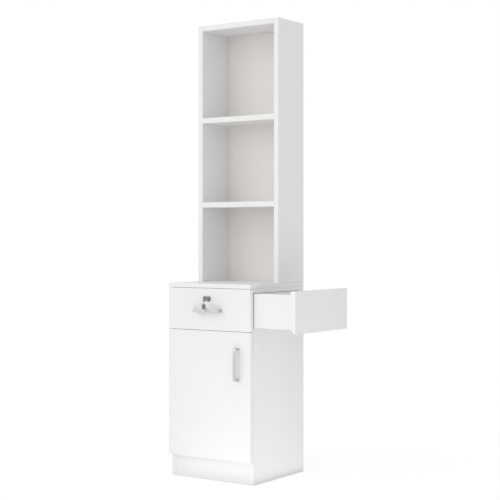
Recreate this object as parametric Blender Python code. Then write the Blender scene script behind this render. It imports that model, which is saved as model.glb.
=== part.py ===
"""Salon styling station: a base cabinet with a lockable drawer, a door and a pull-out tool drawer, under
an open hutch.

Metres, +Z up. Sizes are worked out about the middle of the cabinet's width (x), the face of the door (y)
and the floor (z). The station empty then moves the middle of the whole box's base to the origin.
"""

import math
from dataclasses import dataclass

import bmesh
import bpy
from mathutils import Matrix, Vector

# Overall sizes
CABINET_WIDTH = 0.390
CABINET_DEPTH = 0.378
STATION_HEIGHT = 1.800
COUNTER_HEIGHT = 0.7625
HUTCH_SETBACK = 0.194

# Boards
SIDE_BOARD = 0.020
FRONT_BOARD = 0.020
COUNTER_BOARD = 0.017
BOTTOM_BOARD = 0.018
DECK_BOARD = 0.020
PLINTH_BOARD = 0.018
PARTITION_BOARD = 0.015
BACK_BOARD = 0.006
HUTCH_BOARD = 0.021
ARRIS = 0.0008

# Heights inside the cabinet and the hutch
PLINTH_HEIGHT = 0.085
FRONT_SPLIT_HEIGHT = 0.5816
UPPER_SHELF_TOP = 1.425
LOWER_SHELF_TOP = 1.083

# Clearances
SEAT = 0.0003
FRONT_GAP = 0.0018
FRONT_REVEAL = 0.0015
COUNTER_REVEAL = 0.0012
DOOR_FOOT_GAP = 0.0023

# Tool drawer
TOOL_PULL = 0.1815
TOOL_FRONT_BOARD = 0.020
TOOL_FRONT_TOP_GAP = 0.004
TOOL_STOP_GAP = 0.0015
TOOL_BOX_LENGTH = 0.181
TOOL_WALL = 0.012
TOOL_FRONT_CLEAR = 0.0018
TOOL_REAR_MARGIN = 0.036
TOOL_BOX_LIFT = 0.006
TOP_RAIL_HEIGHT = 0.0162
WINDOW_CLEAR = 0.0014
FINGER_BEVEL = 0.016
TOOL_BOTTOM_BOARD = 0.006
HOLDER_BOARD = 0.012
HOLDER_DROP = 0.030
HOLDER_PITCH = 0.090
LARGE_HOLE_RADIUS = 0.038
SMALL_HOLE_RADIUS = 0.025
HOLE_SIDES = 32
CLEAT = 0.012
PARTITION_CLEAR = 0.0025

# Telescopic rails under the tool drawer: a bar and two channels that nest over it
RAIL_WIDTH = 0.016
RAIL_HEIGHT = 0.0096
RAIL_STEEL = 0.0015
RAIL_RUN_GAP = 0.0004
RAIL_LEG_CLEAR = 0.0006
RAIL_MARGIN = 0.045
RAIL_INSET = 0.006
RAIL_END_GAP = 0.003

# Front drawer
DRAWER_WALL = 0.012
DRAWER_LENGTH = 0.305
DRAWER_LIFT = 0.011
DRAWER_BOTTOM_BOARD = 0.005
DRAWER_BOTTOM_RISE = 0.008
LOCK_CLEAR = 0.014
SLIDE_SPACE = 0.0127
SLIDE_LENGTH = 0.300
SLIDE_HEIGHT = 0.026
SLIDE_STEEL = 0.0012
SLIDE_RUN_GAP = 0.0004
SLIDE_LIP_GAP = 0.0011
SLIDE_FRONT_GAP = 0.003

# Lock, keeper and keys
LOCK_DROP = 0.0403
LOCK_FACE_RADIUS = 0.011
LOCK_FACE = 0.003
LOCK_BARREL_RADIUS = 0.0093
LOCK_BARREL_TAIL = 0.013
LOCK_CLEARANCE = 0.0004
PLUG_RADIUS = 0.0065
PLUG_PROUD = 0.0006
NUT_RADIUS = 0.012
NUT_HEIGHT = 0.004
CAM_ARM_LENGTH = 0.032
CAM_ARM_WIDTH = 0.012
CAM_ARM_STEEL = 0.002
CAM_SCREW_RADIUS = 0.004
CAM_SCREW_HEAD = 0.002
PARTITION_TAIL_GAP = 0.012
KEEPER_DROP = 0.026
KEEPER_WIDTH = 0.024
KEEPER_STEEL = 0.002
KEEPER_LEG = 0.018
KEEPER_CAM_GAP = 0.0016
KEY_BOW_RADIUS = 0.0115
KEY_BOW_THICK = 0.0028
KEY_BOW_REACH = 0.025
KEY_HOLE_RADIUS = 0.0018
KEY_HOLE_OFFSET = 0.0065
KEY_HOLE_SPREAD = 1.5
KEY_BLADE_WIDTH = 0.008
KEY_BLADE_THICK = 0.0014
KEY_BLADE_LENGTH = 0.026
KEY_TAB = 0.005
KEY_SLOT_CLEAR = 0.0003
RING_RADIUS = 0.0108
RING_SLACK = 0.0009
RING_WIRE_RADIUS = 0.0007
RING_POINTS = 24
ROUND_SIDES = 24

# Bow handles and their screws
HANDLE_LENGTH = 0.126
HANDLE_REACH = 0.023
HANDLE_WIDTH = 0.014
HANDLE_BAR = 0.0032
HANDLE_LEG = 0.0075
HANDLE_CORNER = 0.0065
HANDLE_CROWN = 0.0008
HANDLE_EASE = 0.0009
HANDLE_CORNER_STEPS = 5
HANDLE_CROWN_STEPS = 8
HANDLE_BELOW_LOCK = 0.044
DOOR_HANDLE_INSET = 0.058
DOOR_HANDLE_DROP = 0.1228
SCREW_RADIUS = 0.002
SCREW_BITE = 0.009
SCREW_HEAD_RADIUS = 0.004
SCREW_HEAD = 0.0022
SCREW_CLEAR = 0.0003
SCREW_SIDES = 12

# Concealed hinges
HINGE_END_MARGIN = 0.090
CUP_RADIUS = 0.0173
CUP_DEPTH = 0.0112
CUP_WALL = 0.001
CUP_RIM = 0.002
CUP_EDGE = 0.005
CUP_CLEAR = 0.0003
CUP_SIDES = 24
ARM_WIDTH = 0.014
ARM_HEIGHT = 0.011
ARM_LENGTH = 0.060
ARM_WALL = 0.002
PLATE_LENGTH = 0.030
PLATE_WIDTH = 0.040
PLATE_HEIGHT = 0.004
PLATE_SETBACK = 0.037

# Places worked out from the sizes above
HALF = CABINET_WIDTH / 2
INNER = HALF - SIDE_BOARD
CARCASS_FRONT = FRONT_BOARD + FRONT_GAP
BACK_FACE = CABINET_DEPTH - BACK_BOARD
COUNTER_UNDER = COUNTER_HEIGHT - COUNTER_BOARD
SIDE_TOP = COUNTER_UNDER - SEAT
DECK_UNDER = FRONT_SPLIT_HEIGHT - DECK_BOARD / 2
DECK_TOP = FRONT_SPLIT_HEIGHT + DECK_BOARD / 2
BOTTOM_UNDER = PLINTH_HEIGHT + SEAT
BOTTOM_TOP = BOTTOM_UNDER + BOTTOM_BOARD
DOOR_LOW = PLINTH_HEIGHT + DOOR_FOOT_GAP
DOOR_HIGH = FRONT_SPLIT_HEIGHT - FRONT_REVEAL / 2
FRONT_LOW = FRONT_SPLIT_HEIGHT + FRONT_REVEAL / 2
FRONT_HIGH = COUNTER_UNDER - COUNTER_REVEAL
HUTCH_INNER = HALF - HUTCH_BOARD
HUTCH_LOW = COUNTER_HEIGHT + SEAT
HUTCH_TOP_UNDER = STATION_HEIGHT - HUTCH_BOARD

TOOL_BOX_LOW = DECK_TOP + TOOL_BOX_LIFT
TOOL_BOX_HIGH = SIDE_TOP - TOP_RAIL_HEIGHT - WINDOW_CLEAR
TOOL_BOX_FRONT = FRONT_BOARD + TOOL_FRONT_CLEAR
TOOL_BOX_REAR = CABINET_DEPTH - TOOL_REAR_MARGIN
TOOL_FACE_INNER = HALF + TOOL_PULL
TOOL_BOX_INNER = TOOL_FACE_INNER - TOOL_BOX_LENGTH
TOOL_TRAVEL = TOOL_PULL - TOOL_STOP_GAP
TOOL_REACH = TOOL_PULL + TOOL_FRONT_BOARD
PARTITION_RIGHT = TOOL_BOX_INNER - TOOL_TRAVEL - PARTITION_CLEAR
PARTITION_LEFT = PARTITION_RIGHT - PARTITION_BOARD
RAIL_BASE = DECK_TOP + SEAT
RAIL_TOP = RAIL_BASE + RAIL_HEIGHT
MID_WEB = RAIL_TOP + RAIL_RUN_GAP
MOVING_WEB = MID_WEB + RAIL_STEEL + RAIL_RUN_GAP
TOOL_BOTTOM_RISE = MOVING_WEB + RAIL_STEEL + SEAT + TOOL_BOTTOM_BOARD - TOOL_BOX_LOW

LOCK_HEIGHT = FRONT_HIGH - LOCK_DROP
LOCK_TAIL = FRONT_BOARD + LOCK_BARREL_TAIL
CAM_PLANE = LOCK_TAIL + SEAT * 2
PARTITION_FRONT = CAM_PLANE + CAM_ARM_STEEL + CAM_SCREW_HEAD + PARTITION_TAIL_GAP
KEY_HOLE_REACH = KEY_BOW_REACH + KEY_HOLE_OFFSET
RING_HANG = KEY_HOLE_RADIUS - RING_WIRE_RADIUS - RING_SLACK
FRONT_HANDLE_HEIGHT = LOCK_HEIGHT - HANDLE_BELOW_LOCK
DOOR_HANDLE_HEIGHT = DOOR_HIGH - DOOR_HANDLE_DROP
FRONT_REACH = max(KEY_BOW_REACH + KEY_BOW_RADIUS, KEY_HOLE_REACH + KEY_BOW_RADIUS, HANDLE_REACH)

DRAWER_LOW = DECK_TOP + DRAWER_LIFT
DRAWER_HIGH = LOCK_HEIGHT - LOCK_CLEAR
DRAWER_LEFT = -INNER + SLIDE_SPACE
DRAWER_RIGHT = PARTITION_LEFT - SLIDE_SPACE
DRAWER_START = FRONT_BOARD + SEAT
DRAWER_END = DRAWER_START + DRAWER_LENGTH
SLIDE_MIDDLE = (DRAWER_LOW + DRAWER_HIGH) / 2


@dataclass(frozen=True)
class Finish:
    """Colour, roughness and metallic value of one kind of surface."""

    colour: tuple
    roughness: float
    metallic: float = 0.0


@dataclass(frozen=True)
class Carriage:
    """An empty that carries pieces, and where it stands in the station."""

    empty: bpy.types.Object
    at: Vector


WHITE_LAMINATE = Finish((0.86, 0.86, 0.855), 0.42)
WHITE_BACKING = Finish((0.80, 0.79, 0.78), 0.55)
SATIN_NICKEL = Finish((0.62, 0.62, 0.61), 0.28, 1.0)
ZINC_STEEL = Finish((0.66, 0.67, 0.68), 0.35, 1.0)
PALE_STEEL = Finish((0.82, 0.82, 0.80), 0.40)
DARK_ZINC = Finish((0.30, 0.30, 0.31), 0.35, 1.0)
BLACK_PLASTIC = Finish((0.02, 0.02, 0.022), 0.45)


def clear_scene():
    """Remove every object that the open scene holds."""
    for old in list(bpy.data.objects):
        bpy.data.objects.remove(old, do_unlink=True)


def carriage(name, at, parent=None):
    """Add an empty at a place in the station, under another carriage."""
    empty = bpy.data.objects.new(name, None)
    bpy.context.scene.collection.objects.link(empty)
    place = Vector(at)
    if parent is None:
        empty.location = place
        return Carriage(empty, Vector((0, 0, 0)))
    empty.parent = parent.empty
    empty.location = place - parent.at
    return Carriage(empty, place)


def finish_material(name, finish):
    """A Principled material with one finish, named for its piece."""
    material = bpy.data.materials.new(f"{name}_finish")
    material.use_nodes = True
    shader = material.node_tree.nodes["Principled BSDF"]
    shader.inputs["Base Color"].default_value = (*finish.colour, 1.0)
    shader.inputs["Roughness"].default_value = finish.roughness
    shader.inputs["Metallic"].default_value = finish.metallic
    return material


def middle(points):
    """The middle of the box that holds these points."""
    low = Vector([min(p[axis] for p in points) for axis in range(3)])
    high = Vector([max(p[axis] for p in points) for axis in range(3)])
    return (low + high) / 2


def link_mesh(name, shape, carried_by):
    """Make an object of a bmesh that is drawn in station places, with its origin at its middle."""
    bmesh.ops.recalc_face_normals(shape, faces=shape.faces)
    at = middle([vertex.co for vertex in shape.verts])
    bmesh.ops.translate(shape, verts=shape.verts, vec=-at)
    mesh = bpy.data.meshes.new(name)
    shape.to_mesh(mesh)
    shape.free()
    piece = bpy.data.objects.new(name, mesh)
    bpy.context.scene.collection.objects.link(piece)
    piece.parent = carried_by.empty
    piece.location = at - carried_by.at
    return piece


def solid(name, shape, finish, carried_by, ease=0.0, smooth=False):
    """Make one finished piece, with its edges eased by a bevel."""
    piece = link_mesh(name, shape, carried_by)
    piece.data.materials.append(finish_material(name, finish))
    if smooth:
        piece.data.shade_smooth()
        piece.data.set_sharp_from_angle(angle=math.radians(35))
    if ease:
        bevel = piece.modifiers.new("eased_edges", "BEVEL")
        bevel.width = ease
        bevel.segments = 1
        bevel.limit_method = "ANGLE"
        bevel.angle_limit = math.radians(50)
    return piece


def combine(piece, shape, carried_by, operation):
    """Join a shape to a piece or take it out, by a Boolean with a hidden object."""
    tool = link_mesh(f"{piece.name}_shape_{len(piece.modifiers)}", shape, carried_by)
    tool.hide_render = True
    tool.display_type = "WIRE"
    boolean = piece.modifiers.new(operation.lower(), "BOOLEAN")
    boolean.operation = operation
    boolean.solver = "EXACT"
    boolean.object = tool


def cut(piece, shape, carried_by):
    """Take a shape out of a piece."""
    combine(piece, shape, carried_by, "DIFFERENCE")


def add_box(shape, low, high):
    """Add a box between two corners."""
    low = Vector(low)
    high = Vector(high)
    place = Matrix.Translation((low + high) / 2) @ Matrix.Diagonal((*(high - low), 1.0))
    bmesh.ops.create_cube(shape, size=1.0, matrix=place)


def box(low, high):
    """A box between two corners."""
    shape = bmesh.new()
    add_box(shape, low, high)
    return shape


def turned_to(axis):
    """The turn that takes +Z to a row axis."""
    return Vector((0, 0, 1)).rotation_difference(Vector(axis)).to_matrix().to_4x4()


def add_rod(shape, start, end, radius, sides):
    """Add a round rod between two points."""
    start = Vector(start)
    end = Vector(end)
    place = Matrix.Translation((start + end) / 2) @ turned_to(end - start)
    bmesh.ops.create_cone(
        shape,
        cap_ends=True,
        segments=sides,
        radius1=radius,
        radius2=radius,
        depth=(end - start).length,
        matrix=place,
    )


def add_turning(shape, profile, at, axis, sides, hollow):
    """Add a turned solid: (radius, height) points spun about an axis through a place.

    A hollow one has a closed profile clear of the axis, any other one starts and ends on the axis.
    """
    place = Matrix.Translation(Vector(at)) @ turned_to(axis)
    rim = [shape.verts.new((radius, 0, height)) for radius, height in profile]
    edges = [shape.edges.new(pair) for pair in zip(rim, rim[1:])]
    if hollow:
        edges.append(shape.edges.new((rim[-1], rim[0])))
    old_verts = set(shape.verts) - set(rim)
    bmesh.ops.spin(
        shape,
        geom=rim + edges,
        cent=(0, 0, 0),
        axis=(0, 0, 1),
        angle=math.tau,
        steps=sides,
        use_duplicate=False,
    )
    new_verts = [vertex for vertex in shape.verts if vertex not in old_verts]
    bmesh.ops.remove_doubles(shape, verts=new_verts, dist=SEAT / 10)
    new_verts = [vertex for vertex in shape.verts if vertex not in old_verts]
    bmesh.ops.transform(shape, matrix=place, verts=new_verts)


def add_prism(shape, outline, axis, low, high):
    """Add an outline of (first, second) points, extruded along the third row axis from low to high."""
    spots = {
        "X": lambda first, second: (low, first, second),
        "Y": lambda first, second: (first, low, second),
        "Z": lambda first, second: (first, second, low),
    }
    direction = {"X": Vector((1, 0, 0)), "Y": Vector((0, 1, 0)), "Z": Vector((0, 0, 1))}[axis]
    face = shape.faces.new([shape.verts.new(spots[axis](*point)) for point in outline])
    grown = bmesh.ops.extrude_face_region(shape, geom=[face])
    moved = [part for part in grown["geom"] if isinstance(part, bmesh.types.BMVert)]
    bmesh.ops.translate(shape, verts=moved, vec=direction * (high - low))


def prism(outline, axis, low, high):
    """One extruded outline."""
    shape = bmesh.new()
    add_prism(shape, outline, axis, low, high)
    return shape


def board(name, low, high, carried_by, finish=WHITE_LAMINATE):
    """One laminated board with eased edges."""
    return solid(name, box(low, high), finish, carried_by, ease=ARRIS)


def base_cabinet(station):
    """The carcass: sides, bottom, back, plinth, deck, partition and counter."""
    board("base_side_left", (-HALF, CARCASS_FRONT, 0), (-INNER, CABINET_DEPTH, SIDE_TOP), station)
    window_low = TOOL_BOX_LOW - WINDOW_CLEAR
    window_high = TOOL_BOX_HIGH + WINDOW_CLEAR
    window_rear = TOOL_BOX_REAR + WINDOW_CLEAR
    notched = [
        (CARCASS_FRONT, 0),
        (CABINET_DEPTH, 0),
        (CABINET_DEPTH, SIDE_TOP),
        (CARCASS_FRONT, SIDE_TOP),
        (CARCASS_FRONT, window_high),
        (window_rear, window_high),
        (window_rear, window_low),
        (CARCASS_FRONT, window_low),
    ]
    solid("base_side_right", prism(notched, "X", INNER, HALF), WHITE_LAMINATE, station, ease=ARRIS)
    span = INNER - SEAT
    board(
        "base_bottom",
        (-span, CARCASS_FRONT, BOTTOM_UNDER),
        (span, BACK_FACE - SEAT, BOTTOM_TOP),
        station,
    )
    board(
        "drawer_deck", (-span, CARCASS_FRONT, DECK_UNDER), (span, BACK_FACE - SEAT, DECK_TOP), station
    )
    board(
        "base_back",
        (-span, BACK_FACE, BOTTOM_UNDER),
        (span, CABINET_DEPTH, SIDE_TOP),
        station,
        WHITE_BACKING,
    )
    board(
        "plinth_board",
        (-span, CARCASS_FRONT, 0),
        (span, CARCASS_FRONT + PLINTH_BOARD, PLINTH_HEIGHT),
        station,
    )
    board(
        "bay_partition",
        (PARTITION_LEFT, PARTITION_FRONT, DECK_TOP + SEAT),
        (PARTITION_RIGHT, BACK_FACE - SEAT, SIDE_TOP),
        station,
    )


def hutch(station):
    """The counter and the open hutch that stands on it."""
    board("counter_top", (-HALF, 0, COUNTER_UNDER), (HALF, CABINET_DEPTH, COUNTER_HEIGHT), station)
    for word, low in (("left", -HALF), ("right", HUTCH_INNER)):
        board(
            f"hutch_side_{word}",
            (low, HUTCH_SETBACK, HUTCH_LOW),
            (low + HUTCH_BOARD, CABINET_DEPTH, STATION_HEIGHT),
            station,
        )
    span = HUTCH_INNER - SEAT
    shelves = {
        "hutch_top": (STATION_HEIGHT, CABINET_DEPTH),
        "shelf_upper": (UPPER_SHELF_TOP, BACK_FACE - SEAT),
        "shelf_lower": (LOWER_SHELF_TOP, BACK_FACE - SEAT),
    }
    for name, (top, rear) in shelves.items():
        board(name, (-span, HUTCH_SETBACK, top - HUTCH_BOARD), (span, rear, top), station)
    board(
        "hutch_back",
        (-span, BACK_FACE, HUTCH_LOW),
        (span, CABINET_DEPTH, HUTCH_TOP_UNDER - SEAT),
        station,
        WHITE_BACKING,
    )


def bow_outline():
    """The bow handle seen from its side: (along, reach) points, outer line then inner line."""
    half = HANDLE_LENGTH / 2
    shoulder = HANDLE_REACH - HANDLE_CROWN

    def crown(span, top, steps):
        """Points of a shallow arc of half width span, whose ends lie HANDLE_CROWN below its top."""
        radius = (span**2 + HANDLE_CROWN**2) / (2 * HANDLE_CROWN)
        places = [span * (2 * step / steps - 1) for step in range(steps + 1)]
        return [(along, top - radius + math.sqrt(radius**2 - along**2)) for along in places]

    def corner(edge, height, radius, sign):
        """Points of a quarter round between a leg and the bar, from the leg upwards."""
        turns = [math.pi / 2 * step / HANDLE_CORNER_STEPS for step in range(HANDLE_CORNER_STEPS)]
        centre = sign * (edge - radius)
        return [
            (centre + sign * radius * math.cos(turn), height - radius + radius * math.sin(turn))
            for turn in turns
        ]

    inner_edge = half - HANDLE_LEG
    inner_corner = HANDLE_CORNER - HANDLE_BAR
    outer = [(-half, 0)] + corner(half, shoulder, HANDLE_CORNER, -1)
    outer += crown(half - HANDLE_CORNER, HANDLE_REACH, HANDLE_CROWN_STEPS)
    outer += corner(half, shoulder, HANDLE_CORNER, 1)[::-1] + [(half, 0)]
    inner_top = HANDLE_REACH - HANDLE_BAR
    inner = [(-inner_edge, 0)] + corner(inner_edge, inner_top - HANDLE_CROWN, inner_corner, -1)
    inner += crown(inner_edge - inner_corner, inner_top, HANDLE_CROWN_STEPS)
    inner += corner(inner_edge, inner_top - HANDLE_CROWN, inner_corner, 1)[::-1] + [(inner_edge, 0)]
    return outer + inner[::-1]


def bow_handle(name, across, height, upright, panel, carried_by):
    """A bow handle on a panel's face, with the screws that come through the panel into its legs."""
    half_width = HANDLE_WIDTH / 2
    grip = bmesh.new()
    if upright:
        line = [(-SEAT - reach, height + along) for along, reach in bow_outline()]
        add_prism(grip, line, "X", across - half_width, across + half_width)
    else:
        line = [(across + along, -SEAT - reach) for along, reach in bow_outline()]
        add_prism(grip, line, "Z", height - half_width, height + half_width)
    handle = solid(name, grip, SATIN_NICKEL, carried_by, ease=HANDLE_EASE, smooth=True)
    holes = bmesh.new()
    leg_middle = (HANDLE_LENGTH - HANDLE_LEG) / 2
    head_face = FRONT_BOARD - SCREW_HEAD - SCREW_CLEAR
    length = head_face + SEAT + SCREW_BITE
    words = ("lower", "upper") if upright else ("left", "right")
    for word, offset in zip(words, (-leg_middle, leg_middle)):
        if upright:
            at = (across, head_face, height + offset)
        else:
            at = (across + offset, head_face, height)
        screw = bmesh.new()
        add_turning(screw, screw_profile(length, SCREW_HEAD, 0.0), at, (0, -1, 0), SCREW_SIDES, False)
        solid(f"{name}_screw_{word}", screw, ZINC_STEEL, carried_by, smooth=True)
        hole = screw_profile(length, SCREW_HEAD * 2, SCREW_CLEAR)
        add_turning(holes, hole, at, (0, -1, 0), SCREW_SIDES, False)
    cut(panel, holes.copy(), carried_by)
    cut(handle, holes, carried_by)


def screw_profile(length, head, grow):
    """A screw in profile, its head below zero and its shank above, larger all round by grow."""
    return [
        (0, -head - grow),
        (SCREW_HEAD_RADIUS + grow, -head - grow),
        (SCREW_HEAD_RADIUS + grow, grow),
        (SCREW_RADIUS + grow, grow),
        (SCREW_RADIUS + grow, length + grow),
        (0, length + grow),
    ]


def front_drawer(station):
    """The lockable drawer: its front, its box in the left bay, its slides, handle and lock."""
    carried_by = carriage("front_drawer", (0, CARCASS_FRONT, SLIDE_MIDDLE), station)
    front = board("drawer_front", (-HALF, 0, FRONT_LOW), (HALF, FRONT_BOARD, FRONT_HIGH), carried_by)
    for word, low in (("left", DRAWER_LEFT), ("right", DRAWER_RIGHT - DRAWER_WALL)):
        board(
            f"drawer_side_{word}",
            (low, DRAWER_START, DRAWER_LOW),
            (low + DRAWER_WALL, DRAWER_END, DRAWER_HIGH),
            carried_by,
        )
    inside_left = DRAWER_LEFT + DRAWER_WALL + SEAT
    inside_right = DRAWER_RIGHT - DRAWER_WALL - SEAT
    board(
        "drawer_back",
        (inside_left, DRAWER_END - DRAWER_WALL, DRAWER_LOW),
        (inside_right, DRAWER_END, DRAWER_HIGH),
        carried_by,
    )
    floor_low = DRAWER_LOW + DRAWER_BOTTOM_RISE
    board(
        "drawer_bottom",
        (inside_left, DRAWER_START, floor_low),
        (inside_right, DRAWER_END - DRAWER_WALL - SEAT, floor_low + DRAWER_BOTTOM_BOARD),
        carried_by,
        WHITE_BACKING,
    )
    bow_handle("drawer_handle", 0, FRONT_HANDLE_HEIGHT, False, front, carried_by)
    drawer_slides(carried_by, station)
    drawer_lock(front, carried_by, station)


def drawer_slides(carried_by, station):
    """Two-member slides: a channel on the cabinet and a channel on the drawer, nested in it."""
    start = CARCASS_FRONT + SLIDE_FRONT_GAP
    outer = SLIDE_HEIGHT / 2
    nested = outer - SLIDE_STEEL - SLIDE_RUN_GAP

    def channel(web, lip, half_height):
        """A channel in section: its web's outer face, its lips' ends and its half height."""
        turn = 1 if lip > web else -1
        web_in = web + turn * SLIDE_STEEL
        low = SLIDE_MIDDLE - half_height
        high = SLIDE_MIDDLE + half_height
        return [
            (web, low),
            (lip, low),
            (lip, low + SLIDE_STEEL),
            (web_in, low + SLIDE_STEEL),
            (web_in, high - SLIDE_STEEL),
            (lip, high - SLIDE_STEEL),
            (lip, high),
            (web, high),
        ]

    places = (("left", -INNER, DRAWER_LEFT, 1), ("right", PARTITION_LEFT, DRAWER_RIGHT, -1))
    for word, wall, drawer, inward in places:
        wall_web = wall + inward * SEAT
        drawer_web = drawer - inward * SEAT
        lip = SLIDE_STEEL + SLIDE_LIP_GAP
        rail = channel(wall_web, drawer_web - inward * lip, outer)
        runner = channel(drawer_web, wall_web + inward * lip, nested)
        first = start if word == "left" else max(start, PARTITION_FRONT)
        end = start + SLIDE_LENGTH
        solid(f"slide_rail_{word}", prism(rail, "Y", first, end), PALE_STEEL, station)
        solid(f"slide_runner_{word}", prism(runner, "Y", start, end), PALE_STEEL, carried_by)


def drawer_lock(front, carried_by, station):
    """The cam lock in the drawer's front, its keeper, its key, and a spare key on a ring."""
    axis_at = (0, 0, LOCK_HEIGHT)
    barrel_hole = bmesh.new()
    hole_radius = LOCK_BARREL_RADIUS + LOCK_CLEARANCE
    add_rod(
        barrel_hole,
        (0, -FRONT_BOARD, LOCK_HEIGHT),
        (0, 2 * FRONT_BOARD, LOCK_HEIGHT),
        hole_radius,
        ROUND_SIDES,
    )
    cut(front, barrel_hole, carried_by)
    bore = PLUG_RADIUS + LOCK_CLEARANCE
    body = bmesh.new()
    body_profile = [
        (bore, -LOCK_FACE),
        (LOCK_FACE_RADIUS - LOCK_FACE / 3, -LOCK_FACE),
        (LOCK_FACE_RADIUS, -LOCK_FACE * 2 / 3),
        (LOCK_FACE_RADIUS, -SEAT),
        (LOCK_BARREL_RADIUS, -SEAT),
        (LOCK_BARREL_RADIUS, LOCK_TAIL),
        (bore, LOCK_TAIL),
    ]
    add_turning(body, body_profile, axis_at, (0, 1, 0), ROUND_SIDES, True)
    solid("lock_body", body, DARK_ZINC, carried_by, smooth=True)
    nut_start = FRONT_BOARD + SEAT
    nut_shape = bmesh.new()
    add_rod(nut_shape, (0, nut_start, LOCK_HEIGHT), (0, nut_start + NUT_HEIGHT, LOCK_HEIGHT), NUT_RADIUS, 6)
    nut = solid("lock_nut", nut_shape, ZINC_STEEL, carried_by)
    nut_hole = bmesh.new()
    add_rod(nut_hole, (0, 0, LOCK_HEIGHT), (0, LOCK_TAIL, LOCK_HEIGHT), hole_radius, ROUND_SIDES)
    cut(nut, nut_hole, carried_by)
    lock_core(axis_at, carried_by)
    lock_keeper(station)


def lock_core(axis_at, carried_by):
    """What turns with the key: plug, cam, cam screw and key. The ring and the spare key hang from it."""
    core = carriage("lock_core", axis_at, carried_by)
    plug_shape = bmesh.new()
    add_rod(
        plug_shape,
        (0, -LOCK_FACE - PLUG_PROUD, LOCK_HEIGHT),
        (0, LOCK_TAIL + SEAT, LOCK_HEIGHT),
        PLUG_RADIUS,
        ROUND_SIDES,
    )
    plug = solid("lock_plug", plug_shape, DARK_ZINC, core, smooth=True)
    cam_rear = CAM_PLANE + CAM_ARM_STEEL
    half_width = CAM_ARM_WIDTH / 2
    turns = [math.pi / 2 + math.pi * step / 8 for step in range(9)]
    tip = half_width - CAM_ARM_LENGTH
    arm = [(tip + half_width * math.cos(turn), LOCK_HEIGHT + half_width * math.sin(turn)) for turn in turns]
    arm += [(half_width, LOCK_HEIGHT - half_width), (half_width, LOCK_HEIGHT + half_width)]
    solid("lock_cam", prism(arm, "Y", CAM_PLANE, cam_rear), ZINC_STEEL, core)
    screw = bmesh.new()
    add_rod(
        screw,
        (0, cam_rear + SEAT, LOCK_HEIGHT),
        (0, cam_rear + SEAT + CAM_SCREW_HEAD, LOCK_HEIGHT),
        CAM_SCREW_RADIUS,
        SCREW_SIDES,
    )
    solid("cam_screw", screw, ZINC_STEEL, core, smooth=True)
    bow_edge = KEY_BOW_RADIUS - KEY_BOW_REACH
    tip_at = bow_edge + KEY_BLADE_LENGTH
    key("key", Vector((0, -KEY_BOW_REACH, LOCK_HEIGHT)), Vector((0, 1, 0)), core)
    slot = bmesh.new()
    slot_wide = KEY_BLADE_THICK / 2 + KEY_SLOT_CLEAR
    slot_high = KEY_BLADE_WIDTH / 2 + KEY_SLOT_CLEAR
    add_box(
        slot,
        (-slot_wide, -LOCK_FACE - PLUG_PROUD - KEY_BLADE_LENGTH, LOCK_HEIGHT - slot_high),
        (slot_wide, tip_at + KEY_SLOT_CLEAR, LOCK_HEIGHT + slot_high),
    )
    cut(plug, slot, core)
    hole_at = Vector((0, -KEY_HOLE_REACH, LOCK_HEIGHT))
    down = Vector((0, 0, -1))
    ring = carriage("key_ring_pivot", hole_at, core)
    key_ring(hole_at + down * (RING_HANG + RING_RADIUS), ring)
    spare_hole = hole_at + down * 2 * (RING_HANG + RING_RADIUS)
    spare = carriage("spare_key_pivot", spare_hole, ring)
    key("spare_key", spare_hole + down * KEY_HOLE_OFFSET, down, spare)


def key(prefix, bow_at, point, carried_by):
    """A flat key in the plane x = 0: a round bow with a flared ring hole, and a blade along point."""
    side = Vector((0, point.z, -point.y))
    half_thick = Vector((KEY_BOW_THICK / 2, 0, 0))
    bow_shape = bmesh.new()
    add_rod(bow_shape, bow_at - half_thick, bow_at + half_thick, KEY_BOW_RADIUS, ROUND_SIDES)
    bow = solid(f"{prefix}_bow", bow_shape, BLACK_PLASTIC, carried_by, smooth=True)
    hole = bmesh.new()
    flare = KEY_HOLE_RADIUS + KEY_BOW_THICK * KEY_HOLE_SPREAD
    waisted = [
        (0, -KEY_BOW_THICK),
        (flare, -KEY_BOW_THICK),
        (KEY_HOLE_RADIUS, 0),
        (flare, KEY_BOW_THICK),
        (0, KEY_BOW_THICK),
    ]
    add_turning(hole, waisted, bow_at - point * KEY_HOLE_OFFSET, (1, 0, 0), ROUND_SIDES, False)
    cut(bow, hole, carried_by)

    def blade(start, end, grow):
        """A blade along point between two distances from the bow's centre, larger all round by grow."""
        half = Vector((KEY_BLADE_THICK / 2 + grow, 0, 0)) + side * (KEY_BLADE_WIDTH / 2 + grow)
        corners = (bow_at + point * start - half, bow_at + point * end + half)
        low = [min(pair) for pair in zip(*corners)]
        high = [max(pair) for pair in zip(*corners)]
        return box(low, high)

    root = KEY_BOW_RADIUS - KEY_TAB
    cut(bow, blade(root - KEY_SLOT_CLEAR, KEY_BOW_RADIUS * 2, KEY_SLOT_CLEAR), carried_by)
    end = KEY_BOW_RADIUS + KEY_BLADE_LENGTH
    solid(f"{prefix}_blade", blade(root, end, 0.0), SATIN_NICKEL, carried_by)


def key_ring(centre, carried_by):
    """A closed wire ring in the plane of the drawer's front."""
    wire = bpy.data.curves.new("key_ring", "CURVE")
    wire.dimensions = "3D"
    wire.bevel_depth = RING_WIRE_RADIUS
    wire.bevel_resolution = 1
    loop = wire.splines.new("POLY")
    loop.points.add(RING_POINTS - 1)
    for step, point in enumerate(loop.points):
        turn = math.tau * step / RING_POINTS
        point.co = (RING_RADIUS * math.sin(turn), 0, RING_RADIUS * math.cos(turn), 1)
    loop.use_cyclic_u = True
    wire.materials.append(finish_material("key_ring", SATIN_NICKEL))
    ring = bpy.data.objects.new("key_ring", wire)
    bpy.context.scene.collection.objects.link(ring)
    ring.parent = carried_by.empty
    ring.location = centre - carried_by.at


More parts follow.
